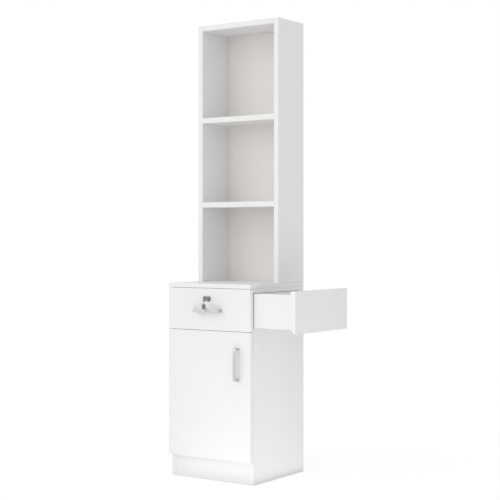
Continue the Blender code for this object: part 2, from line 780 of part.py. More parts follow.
def lock_keeper(station):
    """The bent plate under the counter that the cam turns up behind."""
    plate_rear = CAM_PLANE - KEEPER_CAM_GAP
    plate_front = plate_rear - KEEPER_STEEL
    leg_under = SIDE_TOP - KEEPER_STEEL
    bent = [
        (plate_front, COUNTER_UNDER - KEEPER_DROP),
        (plate_rear, COUNTER_UNDER - KEEPER_DROP),
        (plate_rear, leg_under),
        (plate_front + KEEPER_LEG, leg_under),
        (plate_front + KEEPER_LEG, SIDE_TOP),
        (plate_front, SIDE_TOP),
    ]
    half = KEEPER_WIDTH / 2
    solid("lock_keeper", prism(bent, "X", -half, half), ZINC_STEEL, station)


def door(station):
    """The door: its panel, handle and two concealed hinges."""
    carried_by = carriage("door_hinge_axis", (-HALF, FRONT_BOARD, DOOR_LOW), station)
    panel = board("door_panel", (-HALF, 0, DOOR_LOW), (HALF, FRONT_BOARD, DOOR_HIGH), carried_by)
    bow_handle("door_handle", HALF - DOOR_HANDLE_INSET, DOOR_HANDLE_HEIGHT, True, panel, carried_by)
    cup_bores = bmesh.new()
    for word, height in (("lower", DOOR_LOW + HINGE_END_MARGIN), ("upper", DOOR_HIGH - HINGE_END_MARGIN)):
        hinge_cup(word, height, cup_bores, carried_by)
        hinge_arm(word, height, station)
    cut(panel, cup_bores, carried_by)


def hinge_cup(word, height, cup_bores, carried_by):
    """The pressed cup of a concealed hinge, sunk in the door's back."""
    inside = CUP_RADIUS - CUP_WALL
    rim = CUP_RADIUS + CUP_RIM
    at = (-HALF + CUP_EDGE + CUP_RADIUS, FRONT_BOARD, height)
    cup_profile = [
        (0, -CUP_DEPTH),
        (CUP_RADIUS, -CUP_DEPTH),
        (CUP_RADIUS, SEAT),
        (rim, SEAT),
        (rim, SEAT + CUP_WALL),
        (inside, SEAT + CUP_WALL),
        (inside, CUP_WALL - CUP_DEPTH),
        (0, CUP_WALL - CUP_DEPTH),
    ]
    cup = bmesh.new()
    add_turning(cup, cup_profile, at, (0, 1, 0), CUP_SIDES, False)
    solid(f"hinge_cup_{word}", cup, ZINC_STEEL, carried_by, smooth=True)
    bore_profile = [
        (0, -CUP_DEPTH - CUP_CLEAR),
        (CUP_RADIUS + CUP_CLEAR, -CUP_DEPTH - CUP_CLEAR),
        (CUP_RADIUS + CUP_CLEAR, CUP_DEPTH),
        (0, CUP_DEPTH),
    ]
    add_turning(cup_bores, bore_profile, at, (0, 1, 0), CUP_SIDES, False)


def hinge_arm(word, height, station):
    """The fixed side of a concealed hinge: a plate on the cabinet's side with the arm's channel on it."""
    face = -INNER + SEAT
    start = CARCASS_FRONT + PLATE_SETBACK - PLATE_LENGTH / 2
    low = (face, start, height - PLATE_WIDTH / 2)
    high = (face + PLATE_HEIGHT, start + PLATE_LENGTH, height + PLATE_WIDTH / 2)
    plate = solid(f"hinge_arm_{word}", box(low, high), ZINC_STEEL, station)
    arm_low = face + PLATE_HEIGHT / 2
    arm_high = arm_low + ARM_HEIGHT
    half = ARM_WIDTH / 2
    inside = half - ARM_WALL
    section = [
        (arm_low, height - half),
        (arm_high, height - half),
        (arm_high, height + half),
        (arm_low, height + half),
        (arm_low, height + inside),
        (arm_high - ARM_WALL, height + inside),
        (arm_high - ARM_WALL, height - inside),
        (arm_low, height - inside),
    ]
    arm_start = FRONT_BOARD + SEAT + CUP_WALL + SEAT
    channel = prism(section, "Y", arm_start, arm_start + ARM_LENGTH)
    combine(plate, channel, station, "UNION")


def tool_drawer(station):
    """The pull-out on the right side: front, walls, bottom and a holder board for upright tools."""
    carried_by = carriage("tool_drawer", (HALF, (TOOL_BOX_FRONT + TOOL_BOX_REAR) / 2, TOOL_BOX_LOW), station)
    low = FRONT_LOW
    high = COUNTER_UNDER - TOOL_FRONT_TOP_GAP
    outer = TOOL_FACE_INNER + TOOL_FRONT_BOARD
    bevelled = [
        (TOOL_FACE_INNER, low + FINGER_BEVEL),
        (TOOL_FACE_INNER + FINGER_BEVEL, low),
        (outer, low),
        (outer, high),
        (TOOL_FACE_INNER, high),
    ]
    face = prism(bevelled, "Y", 0, CABINET_DEPTH)
    solid("tool_front", face, WHITE_LAMINATE, carried_by, ease=ARRIS)
    wall_end = TOOL_FACE_INNER - SEAT
    wall_places = (("front", TOOL_BOX_FRONT), ("rear", TOOL_BOX_REAR - TOOL_WALL))
    for word, start in wall_places:
        board(
            f"tool_wall_{word}",
            (TOOL_BOX_INNER, start, TOOL_BOX_LOW),
            (wall_end, start + TOOL_WALL, TOOL_BOX_HIGH),
            carried_by,
        )
    front_in = TOOL_BOX_FRONT + TOOL_WALL + SEAT
    rear_in = TOOL_BOX_REAR - TOOL_WALL - SEAT
    inner_in = TOOL_BOX_INNER + TOOL_WALL
    board(
        "tool_wall_inner",
        (TOOL_BOX_INNER, front_in, TOOL_BOX_LOW + TOOL_BOTTOM_RISE + SEAT),
        (inner_in, rear_in, TOOL_BOX_HIGH),
        carried_by,
    )
    floor_high = TOOL_BOX_LOW + TOOL_BOTTOM_RISE
    board(
        "tool_bottom",
        (TOOL_BOX_INNER, front_in, floor_high - TOOL_BOTTOM_BOARD),
        (wall_end, rear_in, floor_high),
        carried_by,
        WHITE_BACKING,
    )
    tool_holder(inner_in + SEAT, wall_end, front_in, rear_in, carried_by)
    tool_rails(front_in, rear_in, carried_by, station)


def tool_holder(left, right, front, rear, carried_by):
    """The board with round holes that upright tools stand in, on cleats that stand on the bottom."""
    top = TOOL_BOX_HIGH - HOLDER_DROP
    under = top - HOLDER_BOARD
    holder = board("tool_holder", (left, front, under), (right, rear, top), carried_by)
    holes = bmesh.new()
    across = (left + right) / 2
    radii = (LARGE_HOLE_RADIUS, LARGE_HOLE_RADIUS, SMALL_HOLE_RADIUS)
    for step, radius in enumerate(radii):
        depth = (front + rear) / 2 + (step - 1) * HOLDER_PITCH
        low = (across, depth, under - HOLDER_BOARD)
        add_rod(holes, low, (across, depth, top + HOLDER_BOARD), radius, HOLE_SIDES)
    cut(holder, holes, carried_by)
    for word, start in (("front", front), ("rear", rear - CLEAT)):
        low = (left, start, TOOL_BOX_LOW + TOOL_BOTTOM_RISE + SEAT)
        board(f"holder_cleat_{word}", low, (right, start + CLEAT, under - SEAT), carried_by, WHITE_BACKING)


def tool_rails(front, rear, carried_by, station):
    """Telescopic rails under the tool drawer: a bar on the deck, a channel over it, a channel over that."""
    legs = TOOL_BOX_LOW + RAIL_LEG_CLEAR
    mid_half = RAIL_WIDTH / 2 + RAIL_RUN_GAP + RAIL_STEEL
    moving_half = mid_half + RAIL_RUN_GAP + RAIL_STEEL
    moving_from = TOOL_BOX_INNER + RAIL_INSET
    moving_to = TOOL_FACE_INNER - RAIL_INSET
    mid_from = moving_from - TOOL_TRAVEL / 2
    mid_to = HALF - RAIL_INSET + TOOL_TRAVEL / 2
    mid_carriage = carriage("tool_rail_mid", (HALF, (front + rear) / 2, MID_WEB), station)

    def cap(centre, half_width, web):
        """A channel with its open side down: its middle, half width and web's underside."""
        inner = half_width - RAIL_STEEL
        return [
            (centre - half_width, legs),
            (centre - inner, legs),
            (centre - inner, web),
            (centre + inner, web),
            (centre + inner, legs),
            (centre + half_width, legs),
            (centre + half_width, web + RAIL_STEEL),
            (centre - half_width, web + RAIL_STEEL),
        ]

    half = RAIL_WIDTH / 2
    for word, centre in (("front", front + RAIL_MARGIN), ("rear", rear - RAIL_MARGIN)):
        low = (PARTITION_RIGHT + RAIL_END_GAP, centre - half, RAIL_BASE)
        bar = box(low, (INNER - RAIL_END_GAP, centre + half, RAIL_TOP))
        mid = prism(cap(centre, mid_half, MID_WEB), "X", mid_from, mid_to)
        moving = prism(cap(centre, moving_half, MOVING_WEB), "X", moving_from, moving_to)
        solid(f"tool_rail_fixed_{word}", bar, ZINC_STEEL, station)
        solid(f"tool_rail_mid_{word}", mid, ZINC_STEEL, mid_carriage)
        solid(f"tool_rail_moving_{word}", moving, ZINC_STEEL, carried_by)


def build():
    """Build the whole station, with the middle of its box's base at the origin."""
    clear_scene()
    shift = (-TOOL_REACH / 2, (FRONT_REACH - CABINET_DEPTH) / 2, 0)
    station = carriage("station", shift)
    base_cabinet(station)
    hutch(station)
    front_drawer(station)
    door(station)
    tool_drawer(station)


build()
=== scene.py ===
"""Looks of the salon styling station.

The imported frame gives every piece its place: each class below reads the boxes of the nodes that it stands
for, models finer pieces there and dresses them. Metres, +Z up; the front of the station faces -Y and its
tool drawer pulls out along +X.
"""

import logging
import math
from contextlib import contextmanager
from dataclasses import dataclass
from enum import Enum, IntEnum
from typing import Any, Callable, Iterator, Sequence

import bpy
from mathutils import Matrix, Vector


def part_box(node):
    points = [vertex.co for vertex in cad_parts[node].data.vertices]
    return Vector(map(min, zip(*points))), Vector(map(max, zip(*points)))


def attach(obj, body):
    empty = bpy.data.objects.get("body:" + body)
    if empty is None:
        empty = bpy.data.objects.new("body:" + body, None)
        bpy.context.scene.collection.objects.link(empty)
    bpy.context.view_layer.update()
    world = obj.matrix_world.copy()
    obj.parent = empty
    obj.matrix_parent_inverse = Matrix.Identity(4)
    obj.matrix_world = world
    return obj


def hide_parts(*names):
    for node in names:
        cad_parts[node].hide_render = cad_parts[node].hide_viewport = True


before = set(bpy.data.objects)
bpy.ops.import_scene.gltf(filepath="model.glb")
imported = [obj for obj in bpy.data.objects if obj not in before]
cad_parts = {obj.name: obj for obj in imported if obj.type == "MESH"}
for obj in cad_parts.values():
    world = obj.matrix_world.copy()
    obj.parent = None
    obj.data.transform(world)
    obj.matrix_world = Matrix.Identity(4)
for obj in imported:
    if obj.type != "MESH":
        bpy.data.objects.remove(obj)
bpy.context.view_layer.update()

LOG = logging.getLogger("styling_station")
X = Vector((1, 0, 0))
Y = Vector((0, 1, 0))
Z = Vector((0, 0, 1))
# Points closer than MERGE are one point, a cutter reaches PAST what it cuts, an edge over SHARP degrees
# stays sharp, and most noise lies within NOISE_SPAN.
MERGE = 1e-6
PAST = 0.01
SHARP = 40.0
NOISE_SPAN = (0.3, 0.7)

Colour = tuple[float, float, float]
Line = list[tuple[float, float]]
Piece = bpy.types.Object


class Body(Enum):
    """The bodies of the frame that pieces ride on."""

    CABINET = "cabinet"
    FRONT_DRAWER = "front_drawer"
    LOCK_CORE = "lock_core"
    KEY_RING = "key_ring_body"
    SPARE_KEY = "spare_key"
    DOOR = "door"
    TOOL_DRAWER = "tool_drawer"
    TOOL_RAIL_MIDDLE = "tool_rail_middle"


class Slot(Enum):
    """The material slots of the record."""

    WHITE_LAMINATE = "white_laminate"
    WHITE_BACKING = "white_backing"
    SATIN_NICKEL = "satin_nickel"
    ZINC_STEEL = "zinc_steel"
    PALE_STEEL = "pale_steel"
    DARK_ZINC = "dark_zinc"
    BLACK_PLASTIC = "black_plastic"


class Layer(IntEnum):
    """The finishes of a board, by their order on it."""

    FACE = 0
    BAND = 1
    GLUE = 2


@dataclass(frozen=True)
class Space:
    """The box that a node fills, between its lowest and its highest corner."""

    low: Vector
    high: Vector

    @classmethod
    def of(cls, node: str) -> "Space":
        """The box of a node."""
        return cls(*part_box(node))

    @property
    def size(self) -> Vector:
        """The lengths of the box along the axes."""
        return self.high - self.low

    def at(self, x: int = 0, y: int = 0, z: int = 0) -> Vector:
        """A place in the box: along each axis, -1 is its low side, 0 its middle and 1 its high side."""
        places = (self.low, (self.low + self.high) / 2, self.high)
        return Vector([places[step + 1][axis] for axis, step in enumerate((x, y, z))])


class Side(Enum):
    """A side of a board: the axis that it faces along, and which way."""

    LEFT = (0, -1)
    RIGHT = (0, 1)
    FRONT = (1, -1)
    REAR = (1, 1)
    UNDER = (2, -1)
    TOP = (2, 1)

    def outward(self) -> Vector:
        """The direction that this side faces."""
        axis, way = self.value
        return (X, Y, Z)[axis] * way

    def corner(self, space: Space) -> Vector:
        """A corner of a box on this side."""
        return space.high if self.value[1] > 0 else space.low

    def depth(self, point: Vector, space: Space) -> float:
        """How deep a point lies behind this side of a box."""
        return (self.corner(space) - point).dot(self.outward())


def wire(tree: bpy.types.NodeTree, node: bpy.types.Node, inputs: dict[Any, Any]) -> None:
    """Put plain values and other nodes' outputs on a node's inputs.

    Args:
        tree: the node tree.
        node: one of its nodes.
        inputs: the value or the output socket for each input.
    """
    for word, value in inputs.items():
        if isinstance(value, bpy.types.NodeSocket):
            tree.links.new(value, node.inputs[word])
        else:
            node.inputs[word].default_value = value


def add_node(tree: bpy.types.NodeTree, kind: str, inputs: dict[Any, Any]) -> bpy.types.Node:
    """Add a shader node to a tree.

    Args:
        tree: the node tree.
        kind: the node's type, without the words that all types begin with.
        inputs: the value or the output socket for each input.

    Returns:
        The node.
    """
    node = tree.nodes.new(f"ShaderNode{kind}")
    wire(tree, node, inputs)
    return node


@dataclass(frozen=True)
class Noise:
    """A noise pattern: its lumps to a metre, the finer noise on them, and its stretch.

    The stretch is how many times denser the lumps are along each axis.
    """

    scale: float
    detail: float = 2.0
    stretch: tuple[float, float, float] = (1.0, 1.0, 1.0)

    def draw(self, tree: bpy.types.NodeTree) -> bpy.types.NodeSocket:
        """Draw the pattern on the piece's own coordinates.

        Args:
            tree: the node tree of a material.

        Returns:
            The socket of the pattern's value.
        """
        place = add_node(tree, "TexCoord", {}).outputs["Object"]
        vector = add_node(tree, "Mapping", {"Vector": place, "Scale": self.stretch}).outputs["Vector"]
        lumps = {"Vector": vector, "Scale": self.scale, "Detail": self.detail}
        return add_node(tree, "TexNoise", lumps).outputs["Fac"]


@dataclass(frozen=True)
class Finish:
    """What the finishes share: a colour and a roughness that drift with noise, and a raised skin.

    The gloss follows the skin, and so do the tone and the bumps where they have no pattern of their own.
    """

    name: str
    slot: Slot
    colour: Colour
    roughness: float
    tone_drift: float = 0.02
    gloss_drift: float = 0.05
    skin: Noise = Noise(1100.0)
    tone: Noise | None = None
    bumps: Noise | None = None
    relief: float = 0.00003
    strength: float = 0.3
    lightens: bool = False
    metallic: float = 0.0
    clear: float = 0.0

    def draw(self) -> bpy.types.Material:
        """Draw the tone, the gloss and the relief.

        Returns:
            The finish's material.
        """
        material = bpy.data.materials.new(self.name)
        material.use_nodes = True
        tree = material.node_tree
        skin = self.skin.draw(tree)
        ramp = add_node(tree, "ValToRGB", {"Fac": self.tone.draw(tree) if self.tone else skin})
        factors = (1 - self.tone_drift, 1 + self.tone_drift if self.lightens else 1.0)
        for element, position, factor in zip(ramp.color_ramp.elements, NOISE_SPAN, factors):
            element.position = position
            element.color = (*(channel * factor for channel in self.colour), 1.0)
        spread = {
            "Value": skin,
            "From Min": NOISE_SPAN[0],
            "From Max": NOISE_SPAN[1],
            "To Min": self.roughness - self.gloss_drift,
            "To Max": self.roughness + self.gloss_drift,
        }
        height = self.bumps.draw(tree) if self.bumps else skin
        raised = {"Height": height, "Distance": self.relief, "Strength": self.strength}
        surface = {
            "Base Color": ramp.outputs["Color"],
            "Roughness": add_node(tree, "MapRange", spread).outputs["Result"],
            "Normal": add_node(tree, "Bump", raised).outputs["Normal"],
            "Metallic": self.metallic,
            "Transmission Weight": self.clear,
        }
        wire(tree, tree.nodes["Principled BSDF"], surface)
        return material

    def material(self) -> bpy.types.Material:
        """The finish's material, made on its first use."""
        return bpy.data.materials.get(self.name) or self.draw()


@dataclass(frozen=True)
class Laminate(Finish):
    """Melamine-faced board: a fine pearl texture, faintly cloudy in tone."""

    skin: Noise = Noise(1500.0)
    tone: Noise | None = Noise(5.0, detail=3.0)
    strength: float = 0.25


@dataclass(frozen=True)
class EdgeBand(Finish):
    """Plastic edge band: smooth, with the faint chatter of the trimming cutter along it."""

    skin: Noise = Noise(260.0, detail=1.0)
    tone: Noise | None = Noise(9.0)
    relief: float = 0.00001


@dataclass(frozen=True)
class BackingBoard(Finish):
    """Lacquered thin fibre board: flat, with short fibres showing through the lacquer."""

    skin: Noise = Noise(420.0, detail=4.0, stretch=(1.0, 1.0, 0.35))
    relief: float = 0.00005
    strength: float = 0.25


@dataclass(frozen=True)
class BrushedMetal(Finish):
    """Plated metal, brushed along one axis."""

    skin: Noise = Noise(90.0, detail=3.0, stretch=(1.0, 40.0, 40.0))
    relief: float = 0.00002
    metallic: float = 1.0


@dataclass(frozen=True)
class PlatedSteel(Finish):
    """Plated pressed steel, with the soft spangle of the bath and a fine grit."""

    skin: Noise = Noise(300.0, detail=1.0)
    bumps: Noise | None = Noise(2500.0)
    relief: float = 0.00002
    strength: float = 0.2
    lightens: bool = True
    metallic: float = 1.0


@dataclass(frozen=True)
class Moulded(Finish):
    """Moulded plastic or baked powder: an even fine skin."""

    tone: Noise | None = Noise(60.0)
    lightens: bool = True


WHITE = Slot.WHITE_LAMINATE
NICKEL = Slot.SATIN_NICKEL
NICKEL_TONE = (0.555, 0.552, 0.546)
UPRIGHT_LINES = Noise(90.0, detail=3.0, stretch=(40.0, 40.0, 1.0))
LAMINATE = Laminate("white_laminate_face", WHITE, (0.864, 0.860, 0.855), 0.42, tone_drift=0.008)
EDGE_BAND = EdgeBand("white_edge_band", WHITE, (0.868, 0.865, 0.860), 0.36, tone_drift=0.006)
GLUE_LINE = EdgeBand("edge_band_glue_line", WHITE, (0.74, 0.735, 0.72), 0.5)
# The backing's warm tint is painted warm light: it stands in for the warm glow inside the hutch, and its
# bounce tints the walls round it.
BACKING = BackingBoard("white_backing_face", Slot.WHITE_BACKING, (0.875, 0.848, 0.820), 0.55)
NICKEL_ACROSS = BrushedMetal("satin_nickel_across", NICKEL, NICKEL_TONE, 0.32)
NICKEL_UPRIGHT = BrushedMetal("satin_nickel_upright", NICKEL, NICKEL_TONE, 0.32, skin=UPRIGHT_LINES)
NICKEL_WIRE = PlatedSteel("bright_nickel_wire", NICKEL, (0.82, 0.815, 0.80), 0.26)
ZINC = PlatedSteel("zinc_plated_steel", Slot.ZINC_STEEL, (0.66, 0.67, 0.68), 0.36, tone_drift=0.06)
DARK_ZINC = PlatedSteel("dark_zinc_casting", Slot.DARK_ZINC, (0.28, 0.28, 0.285), 0.38, tone_drift=0.08)
PALE_POWDER = Moulded("pale_powder_coat", Slot.PALE_STEEL, (0.80, 0.80, 0.78), 0.40)
BLACK_PLASTIC = Moulded(
    "black_moulded_plastic", Slot.BLACK_PLASTIC, (0.215, 0.215, 0.220), 0.42, tone_drift=0.10
)
WHITE_NYLON = Moulded("white_moulded_nylon", WHITE, (0.82, 0.82, 0.80), 0.38)
CLEAR_RUBBER = Moulded("clear_soft_rubber", Slot.WHITE_BACKING, (0.80, 0.80, 0.79), 0.30, clear=0.5)


class Bench:
    """The modelling bench: each step is one that a modeller makes by hand."""

    @staticmethod
    def hold(*pieces: Piece) -> None:
        """Select some pieces and nothing else, and make the first one active.

        Args:
            pieces: the pieces, which may be none.
        """
        bpy.ops.object.select_all(action="DESELECT")
        for piece in pieces:
            piece.select_set(True)
        if pieces:
            bpy.context.view_layer.objects.active = pieces[0]

    @staticmethod
    def named(name: str) -> Piece:
        """Name the active piece, and put its place in its mesh.

        Args:
            name: the name for the piece and its mesh.

        Returns:
            The piece.
        """
        piece = bpy.context.active_object
        piece.name = name
        piece.data.name = name
        bpy.ops.object.transform_apply(location=True, rotation=True, scale=True)
        return piece

    @staticmethod
    @contextmanager
    def editing(piece: Piece, kind: str) -> Iterator[None]:
        """Hold a piece in edit mode.

        Args:
            piece: the piece.
            kind: what is picked there: VERT, EDGE or FACE.
        """
        Bench.hold(piece)
        bpy.ops.object.mode_set(mode="EDIT")
        bpy.ops.mesh.select_mode(type=kind)
        yield
        bpy.ops.object.mode_set(mode="OBJECT")

    @staticmethod
    def slab(name: str, low: Sequence[float], high: Sequence[float]) -> Piece:
        """Stretch a cube primitive between two corners.

        Args:
            name: the new piece's name.
            low: its lowest corner.
            high: its highest corner.

        Returns:
            The slab.
        """
        low, high = Vector(low), Vector(high)
        Bench.hold()
        bpy.ops.mesh.primitive_cube_add(size=1.0, location=(low + high) / 2)
        bpy.context.active_object.scale = high - low
        return Bench.named(name)

    @staticmethod
    def rod(name: str, start: Vector, end: Vector, radius: float, sides: int) -> Piece:
        """Put a cylinder primitive between two points.

        Args:
            name: the new piece's name.
            start: the middle of its first end.
            end: the middle of its other end.
            radius: its radius.
            sides: how many sides it has.

        Returns:
            The rod.
        """
        run = end - start
        Bench.hold()
        bpy.ops.mesh.primitive_cylinder_add(
            vertices=sides,
            radius=radius,
            depth=run.length,
            location=(start + end) / 2,
            rotation=Z.rotation_difference(run).to_euler(),
        )
        return Bench.named(name)

    @staticmethod
    def rim(name: str, points: Sequence[Vector], fill: str) -> Piece:
        """Move the rim of a circle primitive to an outline's points.

        Args:
            name: the new piece's name.
            points: the outline.
            fill: how it is filled: NGON or NOTHING.

        Returns:
            The outline as a mesh.
        """
        Bench.hold()
        bpy.ops.mesh.primitive_circle_add(vertices=len(points), radius=1.0, fill_type=fill)
        piece = Bench.named(name)
        for vertex, point in zip(piece.data.vertices, points):
            vertex.co = point
        return piece

    @staticmethod
    def plate(name: str, points: Sequence[Vector], run: Vector) -> Piece:
        """Extrude a filled outline.

        Args:
            name: the new piece's name.
            points: the outline.
            run: how far and which way it is extruded.

        Returns:
            The plate.
        """
        piece = Bench.rim(name, points, "NGON")
        with Bench.editing(piece, "FACE"):
            bpy.ops.mesh.select_all(action="SELECT")
            bpy.ops.mesh.extrude_region_move(TRANSFORM_OT_translate={"value": run})
            bpy.ops.mesh.select_all(action="SELECT")
            bpy.ops.mesh.normals_make_consistent(inside=False)
        return piece

    @staticmethod
    def sweep(name: str, line: Line, space: Space, axis: int) -> Piece:
        """Extrude an outline through a box, from its low side to its high side along an axis.

        Args:
            name: the new piece's name.
            line: the outline along the two other axes.
            space: the box.
            axis: 0, 1 or 2 for x, y or z.

        Returns:
            The plate.
        """
        points = [Vector((*place[:axis], space.low[axis], *place[axis:])) for place in line]
        return Bench.plate(name, points, (X, Y, Z)[axis] * space.size[axis])

    @staticmethod
    def turned(
        name: str, profile: Line, at: Vector, axis: Vector, sides: int = 48, hollow: bool = False
    ) -> Piece:
        """Spin a profile about an axis.

        Args:
            name: the new piece's name.
            profile: (radius, height) points. A solid one starts and ends on the axis, a hollow one is a
                closed loop clear of it.
            at: where height 0 lies on the axis.
            axis: the direction of height.
            sides: how many steps the spin has.
            hollow: whether the profile is a closed loop.

        Returns:
            The turned piece.
        """
        across = axis.orthogonal().normalized()
        points = [at + across * radius + axis * height for radius, height in profile]
        piece = Bench.rim(name, points, "NOTHING")
        if not hollow:
            ends = {0, len(points) - 1}
            Bench.on_edges(
                piece, lambda edge: set(edge.vertices) == ends, lambda: bpy.ops.mesh.delete(type="EDGE")
            )
        with Bench.editing(piece, "VERT"):
            bpy.ops.mesh.select_all(action="SELECT")
            bpy.ops.mesh.spin(steps=sides, angle=math.tau, center=at, axis=axis)
            bpy.ops.mesh.select_all(action="SELECT")
            bpy.ops.mesh.remove_doubles(threshold=MERGE)
            bpy.ops.mesh.normals_make_consistent(inside=False)
        return piece

    @staticmethod
    def on_edges(
        piece: Piece, wanted: Callable[[bpy.types.MeshEdge], bool], work: Callable[[], Any]
    ) -> None:
        """Select the edges that pass a test, and do some work on them.

        Args:
            piece: the piece that holds the edges.
            wanted: the test for one edge.
            work: what is done in edit mode with the edges selected.
        """
        with Bench.editing(piece, "EDGE"):
            bpy.ops.mesh.select_all(action="DESELECT")
        for edge in piece.data.edges:
            edge.select = wanted(edge)
        with Bench.editing(piece, "EDGE"):
            work()

    @staticmethod
    def round_off(width: float, steps: int) -> None:
        """Round the selected edges."""
        bpy.ops.mesh.bevel(offset=width, segments=steps, affect="EDGES", clamp_overlap=True)

    @staticmethod
    def ease(piece: Piece, width: float, steps: int = 2) -> None:
        """Round every sharp edge of a piece.

        Args:
            piece: the piece.
            width: how wide the rounding is.
            steps: how many steps it has.
        """
        with Bench.editing(piece, "EDGE"):
            bpy.ops.mesh.select_all(action="DESELECT")
            bpy.ops.mesh.edges_select_sharp(sharpness=math.radians(SHARP))
            Bench.round_off(width, steps)

    @staticmethod
    def score(piece: Piece, at: Vector, normal: Vector) -> None:
        """Score a piece all round where a plane cuts it.

        Args:
            piece: the piece.
            at: a point of the plane.
            normal: the plane's normal.
        """
        with Bench.editing(piece, "FACE"):
            bpy.ops.mesh.select_all(action="SELECT")
            bpy.ops.mesh.bisect(plane_co=at, plane_no=normal)

    @staticmethod
    def combine(piece: Piece, other: Piece, operation: str = "DIFFERENCE") -> None:
        """Apply a Boolean with another piece, which is then thrown away.

        Args:
            piece: the piece that stays.
            other: the other piece.
            operation: DIFFERENCE or UNION.
        """
        boolean = piece.modifiers.new("combined", "BOOLEAN")
        boolean.operation = operation
        boolean.solver = "EXACT"
        boolean.object = other
        Bench.hold(piece)
        bpy.ops.object.modifier_apply(modifier=boolean.name)
        bpy.data.objects.remove(other, do_unlink=True)

    @staticmethod
    def cut(piece: Piece, tools: Sequence[Piece]) -> None:
        """Take shapes that lie clear of each other out of a piece."""
        if tools:
            Bench.combine(piece, Bench.join("cutters", tools))

    @staticmethod
    def join(name: str, pieces: Sequence[Piece]) -> Piece:
        """Make several pieces one object.

        Args:
            name: the object's name.
            pieces: the pieces, which may be one alone.

        Returns:
            The object.
        """
        Bench.hold(*pieces)
        if len(pieces) > 1:
            bpy.ops.object.join()
        return Bench.named(name)

    @staticmethod
    def array(name: str, master: Piece, places: Sequence[Vector], axis: Vector) -> Piece:
        """Copy a piece to several places, and throw the master away.

        Args:
            name: the name of the copies.
            master: the piece, made at the origin along +Z.
            places: where the copies go.
            axis: the direction that they face.

        Returns:
            The copies as one object, each with its own mesh in it.
        """
        turn = Z.rotation_difference(axis).to_matrix().to_4x4()
        copies = []
        for place in places:
            copy = master.copy()
            copy.data = master.data.copy()
            copy.data.transform(Matrix.Translation(place) @ turn)
            bpy.context.scene.collection.objects.link(copy)
            copies.append(copy)
        bpy.data.objects.remove(master, do_unlink=True)
        return Bench.join(name, copies)

    @staticmethod
    def dress(piece: Piece, *finishes: Finish) -> None:
        """Give a piece its finishes, the first one all over."""
        piece.data.materials.clear()
        for finish in finishes:
            piece.data.materials.append(finish.material())


def tie(piece: Piece, body: Body, slot: Slot, *nodes: str) -> Piece:
    """Shade a dressed piece, put it on its body, and hide the nodes that it stands for.

    Args:
        piece: the dressed piece.
        body: the body that it rides on.
        slot: the record's slot for its finish; not used.
        nodes: the CAD nodes that it replaces.

    Returns:
        The same piece.
    """
    Bench.hold(piece)
    bpy.ops.object.shade_smooth_by_angle(angle=math.radians(SHARP))
    weighted = piece.modifiers.new("weighted", "WEIGHTED_NORMAL")
    weighted.keep_sharp = True
    weighted.weight = 100
    bpy.ops.object.modifier_apply(modifier=weighted.name)
    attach(piece, body.value)
    if nodes:
        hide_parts(*nodes)
    return piece


def settle(piece: Piece, body: Body, finish: Finish, *nodes: str) -> Piece:
    """Dress a piece in one finish, put it on its body, and hide its nodes."""
    Bench.dress(piece, finish)
    return tie(piece, body, finish.slot, *nodes)


def arc(centre: Sequence[float], radius: float, start: float, end: float, steps: int) -> Line:
    """Points of an arc between two angles in degrees, with both ends."""
    turns = [math.radians(start + (end - start) * step / steps) for step in range(steps + 1)]
    return [(centre[0] + radius * math.cos(turn), centre[1] + radius * math.sin(turn)) for turn in turns]


def both_faces(upper: Line) -> Line:
    """A profile from the axis to the rim, and its mirror image below height 0."""
    return upper + [(radius, -height) for radius, height in upper[::-1]]


def folded(corners: Line, steel: float, bend: float, inner_steps: int, outer_steps: int) -> Line:
    """The outline of a sheet that is folded at right angles.

    Args:
        corners: the corners of its outer line, from end to end.
        steel: the sheet's thickness.
        bend: the inner radius of its folds.
        inner_steps: the steps of a fold on its inside.
        outer_steps: the steps of a fold on its outside.

    Returns:
        The outline's points.
    """
    points = [Vector(corner) for corner in corners]
    runs = [(after - before).normalized() for before, after in zip(points, points[1:])]
    outer = [corners[0]]
    inner = [tuple(points[0] + runs[1] * steel)]
    for corner, come, go in zip(points[1:], runs, runs[1:]):
        centre = corner + (go - come) * (bend + steel)
        start = math.degrees(math.atan2(-go.y, -go.x))
        end = start + math.copysign(90, come.cross(go))
        outer += arc(centre, bend + steel, start, end, outer_steps)
        inner += arc(centre, bend, start, end, inner_steps)
    outer.append(corners[-1])
    inner.append(tuple(points[-1] - runs[-2] * steel))
    return outer + inner[::-1]


class Part:
    """Anything that is built piece by piece."""

    def build(self) -> list[Piece]:
        """Model and dress the pieces, and return them."""
        raise NotImplementedError


class Assembly(Part):
    """A sub-assembly of parts that are built in order."""

    def parts(self) -> list[Part]:
        """The parts in order."""
        raise NotImplementedError

    def build(self) -> list[Piece]:
        """Build the parts in order, and return their pieces."""
        return [piece for part in self.parts() for piece in part.build()]


@dataclass(frozen=True)
class Bore:
    """A round hole between two points of its axis."""

    start: Vector
    end: Vector
    radius: float
    sides: int

    def cutter(self) -> Piece:
        """The rod that cuts the hole."""
        return Bench.rod("bore", self.start, self.end, self.radius, self.sides)


class Head(Enum):
    """The shape of a screw's head: its outline in shares of its radius and its height."""

    PAN = ((1.0, 0.0), (1.0, 0.35), (0.93, 0.62), (0.76, 0.85), (0.5, 0.96), (0.0, 1.0))
    FLAT = ((0.55, 0.0), (1.0, 0.85), (1.0, 1.0), (0.0, 1.0))


